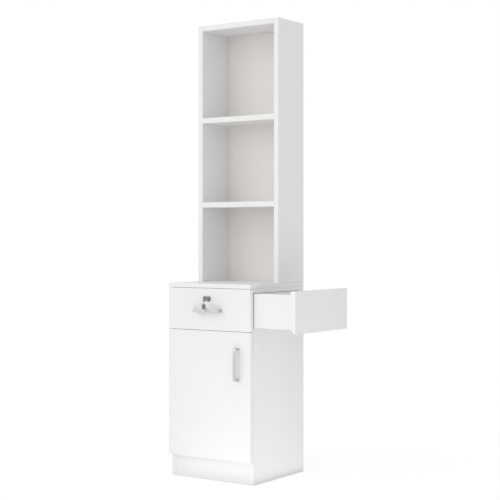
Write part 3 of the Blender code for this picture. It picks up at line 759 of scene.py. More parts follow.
@dataclass(frozen=True)
class Screw:
    """A cross-recessed screw, of which the head shows."""

    radius: float
    height: float
    head: Head = Head.PAN
    shank: float = 0.0
    shank_radius: float = 0.002
    recess_reach: float = 0.62
    recess_width: float = 0.26
    recess_floor: float = 0.45
    sides: int = 24

    def master(self) -> Piece:
        """Model one screw at the origin, with its seat at height 0 and its head along +Z.

        Returns:
            The screw.
        """
        stem = [(0.0, -self.shank), (self.shank_radius, -self.shank), (self.shank_radius, 0.0)]
        crown = [(self.radius * out, self.height * rise) for out, rise in self.head.value]
        profile = (stem if self.shank else [(0.0, 0.0)]) + crown
        piece = Bench.turned("screw_master", profile, Vector(), Z, self.sides)
        reach = self.radius * self.recess_reach
        half = self.radius * self.recess_width / 2
        floor = self.height * self.recess_floor
        for x, y in ((reach, half), (half, reach)):
            Bench.combine(piece, Bench.slab("recess", (-x, -y, floor), (x, y, 2 * self.height)))
        return piece

    def row(self, name: str, body: Body, places: Sequence[Vector], axis: Vector, *nodes: str) -> Piece:
        """Set screws at several places as one piece, with their heads along an axis."""
        return settle(Bench.array(name, self.master(), places, axis), body, ZINC, *nodes)


@dataclass
class Board(Part):
    """A laminated board that stands for one node, with banded edges and rounded arrises."""

    node: str
    body: Body = Body.CABINET
    bands: tuple[Side, ...] = ()
    bores: tuple[Bore, ...] = ()
    face: Finish = LAMINATE
    band: float = 0.001
    glue_line: float = 0.0002
    round_over: float = 0.0005
    round_steps: int = 3

    def __post_init__(self) -> None:
        """Look up the node's box."""
        self.space = Space.of(self.node)

    def shape(self) -> Piece:
        """The bare board."""
        return Bench.slab(f"{self.node}_board", self.space.low, self.space.high)

    def layer(self, polygon: bpy.types.MeshPolygon) -> Layer:
        """Find the finish that a face shows.

        Args:
            polygon: a face of the board.

        Returns:
            The finish's layer, by how deep the face lies behind the banded sides.
        """
        depths = [side.depth(polygon.center, self.space) for side in self.bands]
        if min(depths, default=math.inf) < self.band:
            return Layer.BAND
        return Layer.GLUE if min(depths, default=math.inf) < self.band + self.glue_line else Layer.FACE

    def build(self) -> list[Piece]:
        """Model the board, score its edge bands and their glue lines, and dress it.

        Returns:
            The board, as a list of one piece.
        """
        piece = self.shape()
        Bench.ease(piece, self.round_over, self.round_steps)
        for side in self.bands:
            for depth in (self.band, self.band + self.glue_line):
                Bench.score(piece, side.corner(self.space) - side.outward() * depth, side.outward())
        Bench.cut(piece, [bore.cutter() for bore in self.bores])
        Bench.dress(piece, self.face, EDGE_BAND, GLUE_LINE)
        for polygon in piece.data.polygons:
            polygon.material_index = self.layer(polygon)
        return [tie(piece, self.body, self.face.slot, self.node)]


@dataclass
class BoxWall(Board):
    """A thin wall of a drawer's box, banded on top."""

    bands: tuple[Side, ...] = (Side.TOP,)
    band: float = 0.0005
    round_over: float = 0.0004


@dataclass
class ThinPanel(Board):
    """A thin lacquered panel with no bands."""

    face: Finish = BACKING
    round_over: float = 0.0003


@dataclass
class WindowedSide(Board):
    """The right side of the cabinet, open towards the front for the tool drawer's box."""

    clearance: float = 0.0014
    edge_tilt: float = 0.5

    def shape(self) -> Piece:
        """Cut the window out of the bare side.

        Returns:
            The side.
        """
        piece = super().shape()
        low, high = self.space.low, self.space.high
        wall = Space.of("tool_wall_rear")
        start = (low.x - PAST, low.y - PAST, wall.low.z - self.clearance)
        end = (high.x + PAST, wall.high.y + self.clearance, wall.high.z + self.clearance)
        Bench.cut(piece, [Bench.slab("window", start, end)])
        return piece

    def layer(self, polygon: bpy.types.MeshPolygon) -> Layer:
        """Find the finish that a face shows, with a band on every edge of the window.

        Args:
            polygon: a face of the side.

        Returns:
            The finish's layer.
        """
        outer = (Side.TOP, Side.UNDER, Side.REAR)
        inside = all(side.depth(polygon.center, self.space) > self.band for side in outer)
        on_edge = abs(polygon.normal.x) < self.edge_tilt
        return Layer.BAND if inside and on_edge else super().layer(polygon)


@dataclass
class ScrewedBack(ThinPanel):
    """A thin back that is screwed to the rear edges of the boards in front of it."""

    held_by: tuple[str, ...] = ()
    screws_across: int = 4
    end_margin: float = 0.030
    screw: Screw = Screw(radius=0.0036, height=0.0016, head=Head.FLAT)
    sink: float = 0.0002
    seat_gap: float = 0.0003
    seat_sides: int = 20

    def build(self) -> list[Piece]:
        """Model the back with its screw seats, and its screws.

        Returns:
            The back and its set of screws.
        """
        pitch = (self.space.size.x - 2 * self.end_margin) / (self.screws_across - 1)
        across = [self.space.low.x + self.end_margin + pitch * step for step in range(self.screws_across)]
        heights = [Space.of(node).at().z for node in self.held_by]
        flush = [Vector((x, self.space.high.y - self.sink, z)) for z in heights for x in across]
        deep = Y * self.screw.height
        radius = self.screw.radius + self.seat_gap
        self.bores = tuple(Bore(at - deep, at + deep, radius, self.seat_sides) for at in flush)
        made = super().build()
        return made + [self.screw.row(f"{self.node}_screws", self.body, [at - deep for at in flush], Y)]


@dataclass
class CamCaps(Part):
    """Round covers over the cam fittings, near the ends of a board's underside."""

    node: str
    radius: float = 0.0088
    height: float = 0.0009
    lip: float = 0.0004
    stem_share: float = 0.9
    crown: tuple[tuple[float, float], ...] = ((0.5, 1.15), (0.0, 1.2))
    end_inset: float = 0.034
    edge_inset: float = 0.042
    slot_reach: float = 0.0035
    slot_width: float = 0.0008
    slot_floor: float = 0.7
    sides: int = 36

    def build(self) -> list[Piece]:
        """Model one cap with its slot, and copy it to its four places.

        Returns:
            The set of caps, as a list of one piece.
        """
        radius, height, stem = self.radius, self.height, self.radius * self.stem_share
        profile = [(0.0, -height), (stem, -height), (stem, 0.0)]
        profile += [(radius, 0.0), (radius, self.lip), (radius - self.lip, height)]
        profile += [(radius * out, height * rise) for out, rise in self.crown]
        cap = Bench.turned("cap_master", profile, Vector(), Z, self.sides)
        reach, half = self.slot_reach, self.slot_width / 2
        Bench.combine(
            cap, Bench.slab("slot", (-reach, -half, height * self.slot_floor), (reach, half, height * 2))
        )
        low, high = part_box(self.node)
        places = [
            Vector((x, y, low.z))
            for x in (low.x + self.end_inset, high.x - self.end_inset)
            for y in (low.y + self.edge_inset, high.y - self.edge_inset)
        ]
        caps = Bench.array(f"{self.node}_cam_caps", cap, places, -Z)
        return [settle(caps, Body.CABINET, WHITE_NYLON)]


@dataclass
class Bumpers(Part):
    """Clear rubber domes that a front closes on."""

    name: str
    body: Body
    places: Sequence[Vector]
    axis: Vector
    radius: float = 0.0042
    height: float = 0.0013
    rise_steps: int = 6
    sides: int = 24

    def build(self) -> list[Piece]:
        """Model one dome, and copy it to each place.

        Returns:
            The set of domes, as a list of one piece.
        """
        rise = arc((0.0, 0.0), 1.0, 0, 90, self.rise_steps)[:-1]
        dome = [(self.radius * out, self.height * up) for out, up in rise]
        master = Bench.turned(
            "dome_master", [(0.0, 0.0), *dome, (0.0, self.height)], Vector(), Z, self.sides
        )
        domes = Bench.array(self.name, master, self.places, self.axis)
        return [settle(domes, self.body, CLEAR_RUBBER)]


@dataclass
class BaseCabinet(Assembly):
    """The carcass below the counter: sides, bottom, deck, partition, plinth, counter and back."""

    def parts(self) -> list[Part]:
        """The boards, the back and the cam covers."""
        front = (Side.FRONT,)
        return [
            Board("base_side_left", bands=front),
            WindowedSide("base_side_right", bands=front),
            *(Board(node, bands=front) for node in ("base_bottom", "drawer_deck", "bay_partition")),
            Board("plinth_board"),
            Board("counter_top", bands=(Side.FRONT, Side.LEFT, Side.RIGHT)),
            ScrewedBack("base_back", held_by=("base_bottom", "drawer_deck")),
            CamCaps("drawer_deck"),
        ]


@dataclass
class Hutch(Assembly):
    """The open upper part: two sides, a top, two shelves and a back."""

    def parts(self) -> list[Part]:
        """The sides, the level boards with their cam covers, and the back."""
        sides = [Board(f"hutch_side_{word}", bands=(Side.FRONT, Side.TOP)) for word in ("left", "right")]
        levels = [
            part
            for node in ("hutch_top", "shelf_upper", "shelf_lower")
            for part in (Board(node, bands=(Side.FRONT,)), CamCaps(node))
        ]
        return [*sides, *levels, ScrewedBack("hutch_back", held_by=("shelf_lower", "shelf_upper"))]


@dataclass
class BowHandle(Part):
    """A flat bow handle of brushed nickel, with the two screws that hold it through its front."""

    node: str
    body: Body
    upright: bool = False
    bar: float = 0.0032
    leg: float = 0.0075
    corner: float = 0.0065
    crown: float = 0.0008
    round_over: float = 0.0011
    round_steps: int = 4
    corner_steps: int = 8
    crown_steps: int = 16
    screw_head: float = 0.0022
    head_gap: float = 0.0004
    bore_sides: int = 24

    def line(self, half: float, reach: float, radius: float) -> Line:
        """Draw one line of the bow, from foot to foot.

        Args:
            half: half the length between the line's feet.
            reach: how far the middle of the line stands off.
            radius: the radius of its corners.

        Returns:
            (along, reach) points.
        """
        shoulder = reach - self.crown - radius
        span = half - radius
        bend = (span**2 + self.crown**2) / (2 * self.crown)
        places = [span * (2 * step / self.crown_steps - 1) for step in range(1, self.crown_steps)]
        top = [(along, reach - bend + math.sqrt(bend**2 - along**2)) for along in places]
        left = arc((-span, shoulder), radius, 180, 90, self.corner_steps)
        right = arc((span, shoulder), radius, 90, 0, self.corner_steps)
        return [(-half, 0.0)] + left + top + right + [(half, 0.0)]

    def bow(self) -> Piece:
        """Model the bow, and round its long edges.

        Returns:
            The bow.
        """
        space = Space.of(self.node)
        along, across = (Z, X) if self.upright else (X, Z)
        half, reach = space.size.dot(along) / 2, space.size.y
        outer = self.line(half, reach, self.corner)
        inner = self.line(half - self.leg, reach - self.bar, self.corner - self.bar)
        width = across * space.size.dot(across)
        foot = space.at(y=1) - width / 2
        points = [foot + along * run - Y * rise for run, rise in outer + inner[::-1]]
        piece = Bench.plate(f"{self.node}_bow", points, width)

        def runs_along(edge: bpy.types.MeshEdge) -> bool:
            """Whether an edge runs along the bow, clear of its feet."""
            first, second = (piece.data.vertices[index].co for index in edge.vertices)
            crosses = abs((second - first).dot(across)) > MERGE
            return not crosses and min(first.y, second.y) <= space.high.y - MERGE

        Bench.on_edges(piece, runs_along, lambda: Bench.round_off(self.round_over, self.round_steps))
        return settle(piece, self.body, NICKEL_UPRIGHT if self.upright else NICKEL_ACROSS, self.node)

    def screws(self) -> list[tuple[str, Space, Vector]]:
        """Find the two screws.

        Returns:
            The node, the box and the seat of each.
        """
        words = ("lower", "upper") if self.upright else ("left", "right")
        nodes = [f"{self.node}_screw_{word}" for word in words]
        return [(node, Space.of(node), Space.of(node).at(y=1) - Y * self.screw_head) for node in nodes]

    def bores(self) -> list[Bore]:
        """The counterbores that the screws' heads need in the front."""
        return [
            Bore(seat, seat + Y * PAST, space.size.x / 2 + self.head_gap, self.bore_sides)
            for _, space, seat in self.screws()
        ]

    def build(self) -> list[Piece]:
        """Model the handle and its screws.

        Returns:
            The bow and two screws.
        """
        made = [self.bow()]
        for node, space, seat in self.screws():
            screw = Screw(space.size.x / 2, self.screw_head, shank=space.size.y - self.screw_head)
            made.append(screw.row(f"{node}_turned", self.body, [seat], Y, node))
        return made


@dataclass
class DrawerLock(Part):
    """The cam lock of the drawer's front, and the keeper that its cam turns up behind.

    The mouth is out from the bore and back from the face, the bezel and the plug's edge are in from the rim
    and back from the face.
    """

    bore: float = 0.0069
    barrel: float = 0.0093
    lip: float = 0.0004
    mouth: tuple[tuple[float, float], ...] = ((0.0, 0.0009), (0.0004, 0.0004), (0.0010, 0.0002))
    bezel: tuple[tuple[float, float], ...] = (
        (0.0030, 0.0), (0.0014, 0.0002), (0.0005, 0.0008), (0.0, 0.0019)
    )
    plug_edge: tuple[tuple[float, float], ...] = ((0.0012, 0.0), (0.0003, 0.0003), (0.0, 0.0011))
    key_slot: float = 0.0020
    key_slot_height: float = 0.0086
    key_slot_depth: float = 0.018
    nut_bore: float = 0.0097
    nut_chamfer: float = 0.0006
    steel_round: float = 0.0003
    keeper_steel: float = 0.002
    keeper_bend: float = 0.002
    keeper_bend_steps: int = 5
    keeper_screw: Screw = Screw(radius=0.0032, height=0.0016)
    keeper_screw_inset: float = 0.005
    sides: int = 48
    bezel_sides: int = 64
    cam_steps: int = 16

    def axis_at(self, y: float) -> Vector:
        """A place on the lock's axis."""
        centre = Space.of("lock_body").at()
        return Vector((centre.x, y, centre.z))

    def bore_through(self, node: str, radius: float) -> Bore:
        """A hole along the lock's axis, right through a node."""
        low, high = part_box(node)
        return Bore(self.axis_at(low.y - PAST), self.axis_at(high.y + PAST), radius, self.sides)

    def front_bore(self) -> Bore:
        """The hole through the drawer's front."""
        return self.bore_through("drawer_front", self.barrel + self.lip)

    def body(self) -> Piece:
        """Model the bezel and the barrel.

        Returns:
            Both as one piece.
        """
        space = Space.of("lock_body")
        radius, tail = space.size.x / 2, space.size.y
        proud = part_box("drawer_front")[0].y - space.low.y - self.lip / 2
        profile = [(self.bore + out, back) for out, back in self.mouth]
        profile += [(radius - inset, back) for inset, back in self.bezel]
        profile += [(radius, proud), (self.barrel, proud), (self.barrel, tail), (self.bore, tail)]
        at = self.axis_at(space.low.y)
        piece = Bench.turned("lock_bezel_and_barrel", profile, at, Y, self.bezel_sides, hollow=True)
        return settle(piece, Body.FRONT_DRAWER, DARK_ZINC, "lock_body")

    def plug(self) -> Piece:
        """Model the turning plug with its keyway.

        Returns:
            The plug.
        """
        space = Space.of("lock_plug")
        radius, length = space.size.x / 2, space.size.y
        edge = [(radius - inset, back) for inset, back in self.plug_edge]
        at = self.axis_at(space.low.y)
        profile = [(0.0, 0.0), *edge, (radius, length), (0.0, length)]
        piece = Bench.turned("lock_plug_slotted", profile, at, Y, self.sides)
        half = Vector((self.key_slot / 2, 0, self.key_slot_height / 2))
        Bench.combine(piece, Bench.slab("keyway", at - half - Y * PAST, at + half + Y * self.key_slot_depth))
        return settle(piece, Body.LOCK_CORE, DARK_ZINC, "lock_plug")

    def nut(self) -> Piece:
        """Model the hexagon nut behind the drawer's front.

        Returns:
            The nut.
        """
        space = Space.of("lock_nut")
        start, end = self.axis_at(space.low.y), self.axis_at(space.high.y)
        piece = Bench.rod("lock_nut_chamfered", start, end, space.size.z / 2, 6)
        Bench.ease(piece, self.nut_chamfer)
        Bench.cut(piece, [self.bore_through("lock_nut", self.nut_bore).cutter()])
        return settle(piece, Body.FRONT_DRAWER, ZINC, "lock_nut")

    def cam(self) -> Piece:
        """Model the flat arm on the plug's tail, round at both ends.

        Returns:
            The arm.
        """
        space = Space.of("lock_cam")
        half, height = space.size.z / 2, space.at().z
        line = arc((space.low.x + half, height), half, 90, 270, self.cam_steps)
        line += arc((space.high.x - half, height), half, -90, 90, self.cam_steps)
        piece = Bench.sweep("lock_cam_arm", line, space, 1)
        Bench.ease(piece, self.steel_round)
        return settle(piece, Body.LOCK_CORE, ZINC, "lock_cam")

    def cam_screw(self) -> Piece:
        """The screw that holds the cam."""
        space = Space.of("cam_screw")
        screw = Screw(radius=space.size.x / 2, height=space.size.y)
        return screw.row("cam_screw_head", Body.LOCK_CORE, [self.axis_at(space.low.y)], Y, "cam_screw")

    def keeper(self) -> list[Piece]:
        """Model the bent plate under the counter, and its two screws.

        Returns:
            The plate and its screws.
        """
        space = Space.of("lock_keeper")
        low, high = space.low, space.high
        corners = [(low.y, low.z), (low.y, high.z), (high.y, high.z)]
        steps = self.keeper_bend_steps
        line = folded(corners, self.keeper_steel, self.keeper_bend, steps, steps)
        plate = Bench.sweep("lock_keeper_plate", line, space, 0)
        Bench.ease(plate, self.steel_round)
        seat = space.at(y=1, z=1) - Y * self.keeper_screw_inset - Z * self.keeper_steel
        apart = X * space.size.x / 4
        seats = [seat - apart, seat + apart]
        screws = self.keeper_screw.row("lock_keeper_screws", Body.CABINET, seats, -Z)
        return [settle(plate, Body.CABINET, ZINC, "lock_keeper"), screws]

    def build(self) -> list[Piece]:
        """Model and dress the lock, and return its pieces."""
        return [self.body(), self.plug(), self.nut(), self.cam(), self.cam_screw(), *self.keeper()]


@dataclass
class KeySet(Part):
    """The key in the lock, the spare key and the split ring that joins them.

    Each cut of a blade has its points in shares of the pitch and of its depth.
    """

    rim: float = 0.0016
    panel_sink: float = 0.0003
    edge_round: float = 0.0006
    edge_share: float = 0.3
    hole: float = 0.0018
    hole_offset: float = 0.0065
    hole_spread: float = 1.5
    cut_depths: tuple[float, ...] = (0.0016, 0.0024, 0.0012, 0.0022, 0.0018)
    cut_pitch: float = 0.0034
    cut_shape: tuple[tuple[float, float], ...] = ((0.25, 0.0), (0.55, 1.0), (0.75, 1.0), (1.05, 0.0))
    tip: float = 0.0018
    tip_slope: float = 1.4
    groove_start: float = 0.006
    groove_band: tuple[float, float] = (0.30, 0.48)
    groove_shift: float = 0.75
    coils: int = 2
    coil_steps: int = 48
    wire_steps: int = 3
    split_turn: float = 40.0
    bow_sides: int = 64
    hole_sides: int = 32

    def bow(self, node: str, body: Body, point: Vector) -> Piece:
        """Model a round moulded bow: a sunk panel on both faces, and the flared hole for the ring.

        Args:
            node: the bow's node.
            body: the body that it rides on.
            point: the direction that the key's blade points in.

        Returns:
            The bow.
        """
        space = Space.of(node)
        radius, half = space.size.z / 2, space.size.x / 2
        sunk, inner = half - self.panel_sink, radius - self.rim
        edge, shy = self.edge_round, self.edge_round * self.edge_share
        face = [(0.0, sunk), (inner - edge, sunk), (inner, half)]
        face += [(radius - edge, half), (radius - shy, half - shy), (radius, half - edge)]
        piece = Bench.turned(f"{node}_moulded", both_faces(face), space.at(), X, self.bow_sides)
        far = 2 * half
        flare = self.hole + far * self.hole_spread
        waist = [(0.0, -far), (flare, -far), (self.hole, 0.0), (flare, far), (0.0, far)]
        at = space.at() - point * self.hole_offset
        Bench.combine(piece, Bench.turned("ring_hole", waist, at, X, self.hole_sides))
        return settle(piece, body, BLACK_PLASTIC, node)

    def blade(self, node: str, body: Body, point: Vector) -> Piece:
        """Model a flat blade with its cuts along one edge and a groove along both faces.

        Args:
            node: the blade's node.
            body: the body that it rides on.
            point: the direction that the blade points in.

        Returns:
            The blade.
        """
        space = Space.of(node)
        side, thick = X.cross(point), X * space.size.x
        length, width = abs(space.size.dot(point)), abs(space.size.dot(side))
        root = space.at() - (point * length + side * width + thick) / 2
        shoulder = length - self.tip
        line = [(0.0, 0.0), (shoulder, 0.0), (length, self.tip)]
        line += [(length, width - self.tip * self.tip_slope), (shoulder, width)]
        for step, depth in enumerate(self.cut_depths):
            for share, deep in self.cut_shape:
                line.append((shoulder - self.cut_pitch * (step + share), width - depth * deep))
        line.append((0.0, width))
        points = [root + point * along + side * across for along, across in line]
        piece = Bench.plate(f"{node}_cut", points, thick)
        near, far = (side * width * share for share in self.groove_band)
        for shift in (-self.groove_shift, self.groove_shift):
            first = root + point * self.groove_start + near + thick * shift
            second = root + point * (length + PAST) + far + thick * (shift + 1)
            low, high = (list(map(pick, first, second)) for pick in (min, max))
            Bench.combine(piece, Bench.slab("groove", low, high))
        return settle(piece, body, NICKEL_WIRE, node)

    def ring(self) -> Piece:
        """Model the split ring: one wire wound twice, its coils side by side.

        Returns:
            The ring.
        """
        space = Space.of("key_ring")
        wire_radius = space.size.y / (2 * self.coils)
        radius = space.size.x / 2 - 2 * wire_radius
        path = bpy.data.curves.new("key_ring_split", "CURVE")
        path.dimensions = "3D"
        path.bevel_depth = wire_radius
        path.bevel_resolution = self.wire_steps
        path.use_fill_caps = True
        spline = path.splines.new("POLY")
        count = self.coils * self.coil_steps
        spline.points.add(count)
        for step, point in enumerate(spline.points):
            turn = math.tau * step / self.coil_steps + math.radians(self.split_turn)
            rise = (step / count - 0.5) * 2 * wire_radius
            place = space.at() + Vector((radius * math.sin(turn), rise, radius * math.cos(turn)))
            point.co = (*place, 1.0)
        Bench.hold(put_in_scene(path))
        bpy.ops.object.convert(target="MESH")
        return settle(bpy.context.active_object, Body.KEY_RING, NICKEL_WIRE, "key_ring")

    def build(self) -> list[Piece]:
        """Model and dress both keys and the ring.

        Returns:
            Their pieces.
        """
        made = []
        for key, body, point in (("key", Body.LOCK_CORE, Y), ("spare_key", Body.SPARE_KEY, -Z)):
            made.append(self.bow(f"{key}_bow", body, point))
            made.append(self.blade(f"{key}_blade", body, point))
        return [*made, self.ring()]


@dataclass
class DrawerSlides(Part):
    """The two roller slides of the front drawer: rail, runner and rollers."""

    steel: float = 0.0012
    bend: float = 0.0008
    bend_steps: int = 3
    hole: float = 0.0026
    hole_sides: int = 20
    hole_pitch: float = 0.064
    hole_margin: float = 0.022
    roller: float = 0.0096
    roller_width: float = 0.0048
    roller_round: float = 0.0008
    roller_inset: float = 0.014
    roller_sides: int = 40
    rivet: float = 0.0030
    rivet_proud: float = 0.0010
    rivet_round: float = 0.0006
    screw: Screw = Screw(radius=0.0034, height=0.0012)

    def member(self, node: str, body: Body, web_side: Side) -> list[Piece]:
        """Model one member of a slide: a rolled channel with its holes and screws.

        Args:
            node: the member's node.
            body: the body that it rides on.
            web_side: the side that its web lies on.

        Returns:
            The channel and its screws.
        """
        space = Space.of(node)
        low, high = space.low, space.high
        web, lip = (low.x, high.x) if web_side is Side.LEFT else (high.x, low.x)
        corners = [(lip, low.z), (web, low.z), (web, high.z), (lip, high.z)]
        line = folded(corners, self.steel, self.bend, self.bend_steps, self.bend_steps)
        piece = Bench.sweep(f"{node}_channel", line, space, 1)
        inward = -web_side.outward()
        count = int((high.y - low.y - 2 * self.hole_margin) / self.hole_pitch) + 1
        steps = [low.y + self.hole_margin + self.hole_pitch * step for step in range(count)]
        places = [Vector((web, step, space.at().z)) for step in steps]
        reach = inward * PAST
        bores = [Bore(at - reach, at + reach, self.hole, self.hole_sides) for at in places[1::2]]
        Bench.cut(piece, [bore.cutter() for bore in bores])
        seats = [at + inward * self.steel for at in places[::2]]
        screws = self.screw.row(f"{node}_screws", body, seats, inward)
        return [settle(piece, body, PALE_POWDER, node), screws]

    def wheel(self, name: str, body: Body, at: Vector) -> Piece:
        """Model a nylon roller on a rivet, between a web and the other member.

        Args:
            name: the new piece's name.
            body: the body that it rides on.
            at: its middle.

        Returns:
            The roller with its rivet.
        """
        half, rivet, proud = self.roller_width / 2, self.rivet, self.rivet_proud
        face = [(0.0, half + proud), (rivet - self.rivet_round, half + proud)]
        face += [(rivet, half + proud - self.rivet_round), (rivet, half)]
        face += [(self.roller - self.roller_round, half), (self.roller, half - self.roller_round)]
        piece = Bench.turned(name, both_faces(face), at, X, self.roller_sides)
        return settle(piece, body, WHITE_NYLON)

    def build(self) -> list[Piece]:
        """Model and dress both slides.

        Returns:
            Their pieces.
        """
        made = []
        for word, wall, drawer in (("left", Side.LEFT, Side.RIGHT), ("right", Side.RIGHT, Side.LEFT)):
            rail, runner = Space.of(f"slide_rail_{word}"), Space.of(f"slide_runner_{word}")
            made += self.member(f"slide_rail_{word}", Body.CABINET, wall)
            made += self.member(f"slide_runner_{word}", Body.FRONT_DRAWER, drawer)
            across = (min(rail.low.x, runner.low.x) + max(rail.high.x, runner.high.x)) / 2
            front = Vector((across, rail.low.y + self.roller_inset, rail.at().z))
            rear = Vector((across, runner.high.y - self.roller_inset, rail.at().z))
            made.append(self.wheel(f"slide_roller_front_{word}", Body.CABINET, front))
            made.append(self.wheel(f"slide_roller_rear_{word}", Body.FRONT_DRAWER, rear))
        return made


@dataclass
class FrontDrawer(Assembly):
    """The lockable drawer: its front and its box."""

    lock: DrawerLock
    handle: BowHandle
    bottom_round: float = 0.0002
    bumper_inset: float = 0.010
    bumper_rise: float = 0.007

    def parts(self) -> list[Part]:
        """List the front with its bores, the box and the bumpers.

        Returns:
            The parts in order.
        """
        body = Body.FRONT_DRAWER
        low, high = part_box("drawer_front")
        ends = (low.x + self.bumper_inset, high.x - self.bumper_inset)
        spots = [Vector((x, high.y, low.z + self.bumper_rise)) for x in ends]
        all_round = (Side.TOP, Side.UNDER, Side.LEFT, Side.RIGHT)
        bores = (self.lock.front_bore(), *self.handle.bores())
        walls = ("drawer_side_left", "drawer_side_right", "drawer_back")
        return [
            Board("drawer_front", body, bands=all_round, bores=bores),
            *(BoxWall(node, body) for node in walls),
            ThinPanel("drawer_bottom", body, round_over=self.bottom_round),
            Bumpers("drawer_bumpers", body, spots, Y),
        ]


@dataclass
class ConcealedHinge(Part):
    """A concealed hinge: its cup in the door, and its arm and plate on the cabinet's side.

    The cup's foot and its hollow are in from its wall and up from its foot, its mouth is in from the wall
    and down from the brim. Places along the arm are shares of its length.
    """

    word: str
    wall: float = 0.001
    rim_out: float = 0.0018
    rim_edge: float = 0.0003
    cup_inset: float = 0.002
    bore_gap: float = 0.0003
    foot: tuple[tuple[float, float], ...] = ((0.0016, 0.0), (0.0004, 0.0005), (0.0, 0.0016))
    mouth: tuple[tuple[float, float], ...] = ((0.0004, 0.0), (0.0010, 0.0006))
    hollow: tuple[tuple[float, float], ...] = ((0.0010, 0.0022), (0.0024, 0.0010))
    cup_sides: int = 48
    wing_reach: float = 0.0300
    wing_width: float = 0.0085
    wing_steel: float = 0.0009
    wing_steps: int = 12
    wing_screw_at: float = 0.0238
    wing_screw: Screw = Screw(radius=0.0036, height=0.0011)
    arm_width: float = 0.014
    arm_steel: float = 0.0018
    arm_stand: float = 0.002
    arm_round: float = 0.0022
    arm_round_steps: int = 5
    arm_screw: Screw = Screw(radius=0.0034, height=0.0012)
    arm_screws_at: tuple[float, float] = (0.40, 0.80)
    plate_at: float = 0.37
    plate_length: float = 0.030
    plate_steel: float = 0.0032
    plate_corner: float = 0.006
    plate_corner_steps: int = 6
    plate_round: float = 0.0005
    plate_screw: Screw = Screw(radius=0.0038, height=0.0014)
    plate_screw_share: float = 0.70

    def cup_space(self) -> Space:
        """The box of the cup's node."""
        return Space.of(f"hinge_cup_{self.word}")

    def cup_radius(self) -> float:
        """The outer radius of the cup below its rim."""
        return self.cup_space().size.z / 2 - self.cup_inset

    def cup_bore(self) -> Bore:
        """The hole that the cup needs in the door."""
        start, end = self.cup_space().at(y=-1) - Y * self.bore_gap, self.cup_space().at(y=1) + Y * PAST
        return Bore(start, end, self.cup_radius() + self.bore_gap, self.cup_sides)

    def cup(self) -> list[Piece]:
        """Model the pressed cup with its two wings, and the screws in the wings.

        Returns:
            The cup and its screws.
        """
        node, space = f"hinge_cup_{self.word}", self.cup_space()
        radius, depth, edge = self.cup_radius(), space.size.y, self.rim_edge
        rim, brim = radius + self.rim_out, depth - self.wall
        profile = [(0.0, 0.0)] + [(radius - inset, rise) for inset, rise in self.foot]
        profile += [(radius, brim), (rim, brim), (rim, depth - edge), (rim - edge, depth)]
        profile += [(radius - inset, depth - drop) for inset, drop in self.mouth]
        profile += [(radius - inset, rise) for inset, rise in self.hollow] + [(0.0, self.wall)]
        at, centre = space.at(y=-1), space.at()
        cup = Bench.turned(f"{node}_pressed", profile, at, Y, self.cup_sides)
        width, out = self.wing_width, self.wing_reach - self.wing_width
        line = arc((centre.x, centre.z + out), width, 0, 180, self.wing_steps)
        line += arc((centre.x, centre.z - out), width, 180, 360, self.wing_steps)
        points = [Vector((x, space.high.y - self.wall, z)) for x, z in line]
        wings = Bench.plate("wings", points, Y * self.wing_steel)
        mouth = Bench.rod("mouth", at, at + Y * (depth + PAST), radius - self.wall / 2, self.cup_sides)
        Bench.combine(wings, mouth)
        Bench.combine(cup, wings, "UNION")
        flush = space.at(y=1) - Y * self.wing_steel
        seats = [flush - Z * self.wing_screw_at, flush + Z * self.wing_screw_at]
        screws = self.wing_screw.row(f"{node}_screws", Body.DOOR, seats, Y)
        return [settle(cup, Body.DOOR, ZINC, node), screws]

    def channel(self, node: str, space: Space) -> Piece:
        """Model the arm's channel, which is open towards the cabinet's side.

        Args:
            node: the arm's node.
            space: the node's box.

        Returns:
            The channel.
        """
        low, high, bend = space.low, space.high, self.arm_round
        under, over = (space.at().z + half for half in (-self.arm_width / 2, self.arm_width / 2))
        base = low.x + self.arm_stand
        line = [(base, under)]
        line += arc((high.x - bend, under + bend), bend, -90, 0, self.arm_round_steps)
        line += arc((high.x - bend, over - bend), bend, 0, 90, self.arm_round_steps)
        line += [(base, over)]
        arm = Bench.sweep(f"{node}_pressed", line, space, 1)
        steel = self.arm_steel
        start = (base - PAST, low.y - PAST, under + steel)
        Bench.combine(arm, Bench.slab("trough", start, (high.x - steel, high.y + PAST, over - steel)))
        return arm

    def arm(self) -> list[Piece]:
        """Model the winged plate on the side, the channel of the arm over it, and their screws.

        Returns:
            The arm with its plate, and the screws of both.
        """
        node = f"hinge_arm_{self.word}"
        space = Space.of(node)
        low, high, centre, length = space.low, space.high, space.at(), space.size.y
        arm = self.channel(node, space)
        corner, start = self.plate_corner, low.y + length * self.plate_at
        end = start + self.plate_length
        front, rear, under, over = start + corner, end - corner, low.z + corner, high.z - corner
        line = []
        for turn, spot in enumerate(((rear, over), (front, over), (front, under), (rear, under))):
            line += arc(spot, corner, 90 * turn, 90 * turn + 90, self.plate_corner_steps)
        plate = Bench.plate("plate", [Vector((low.x, y, z)) for y, z in line], X * self.plate_steel)
        Bench.ease(plate, self.plate_round)
        Bench.combine(arm, plate, "UNION")
        wing = Z * (centre.z - low.z) * self.plate_screw_share
        seat = Vector((low.x + self.plate_steel, (start + end) / 2, centre.z))
        spots = [Vector((high.x, low.y + length * share, centre.z)) for share in self.arm_screws_at]
        made = [
            self.plate_screw.row(f"{node}_plate_screws", Body.CABINET, [seat - wing, seat + wing], X),
            self.arm_screw.row(f"{node}_setting_screws", Body.CABINET, spots, X),
        ]
        return [settle(arm, Body.CABINET, ZINC, node), *made]

    def build(self) -> list[Piece]:
        """Model and dress the hinge, and return its pieces."""
        return self.cup() + self.arm()


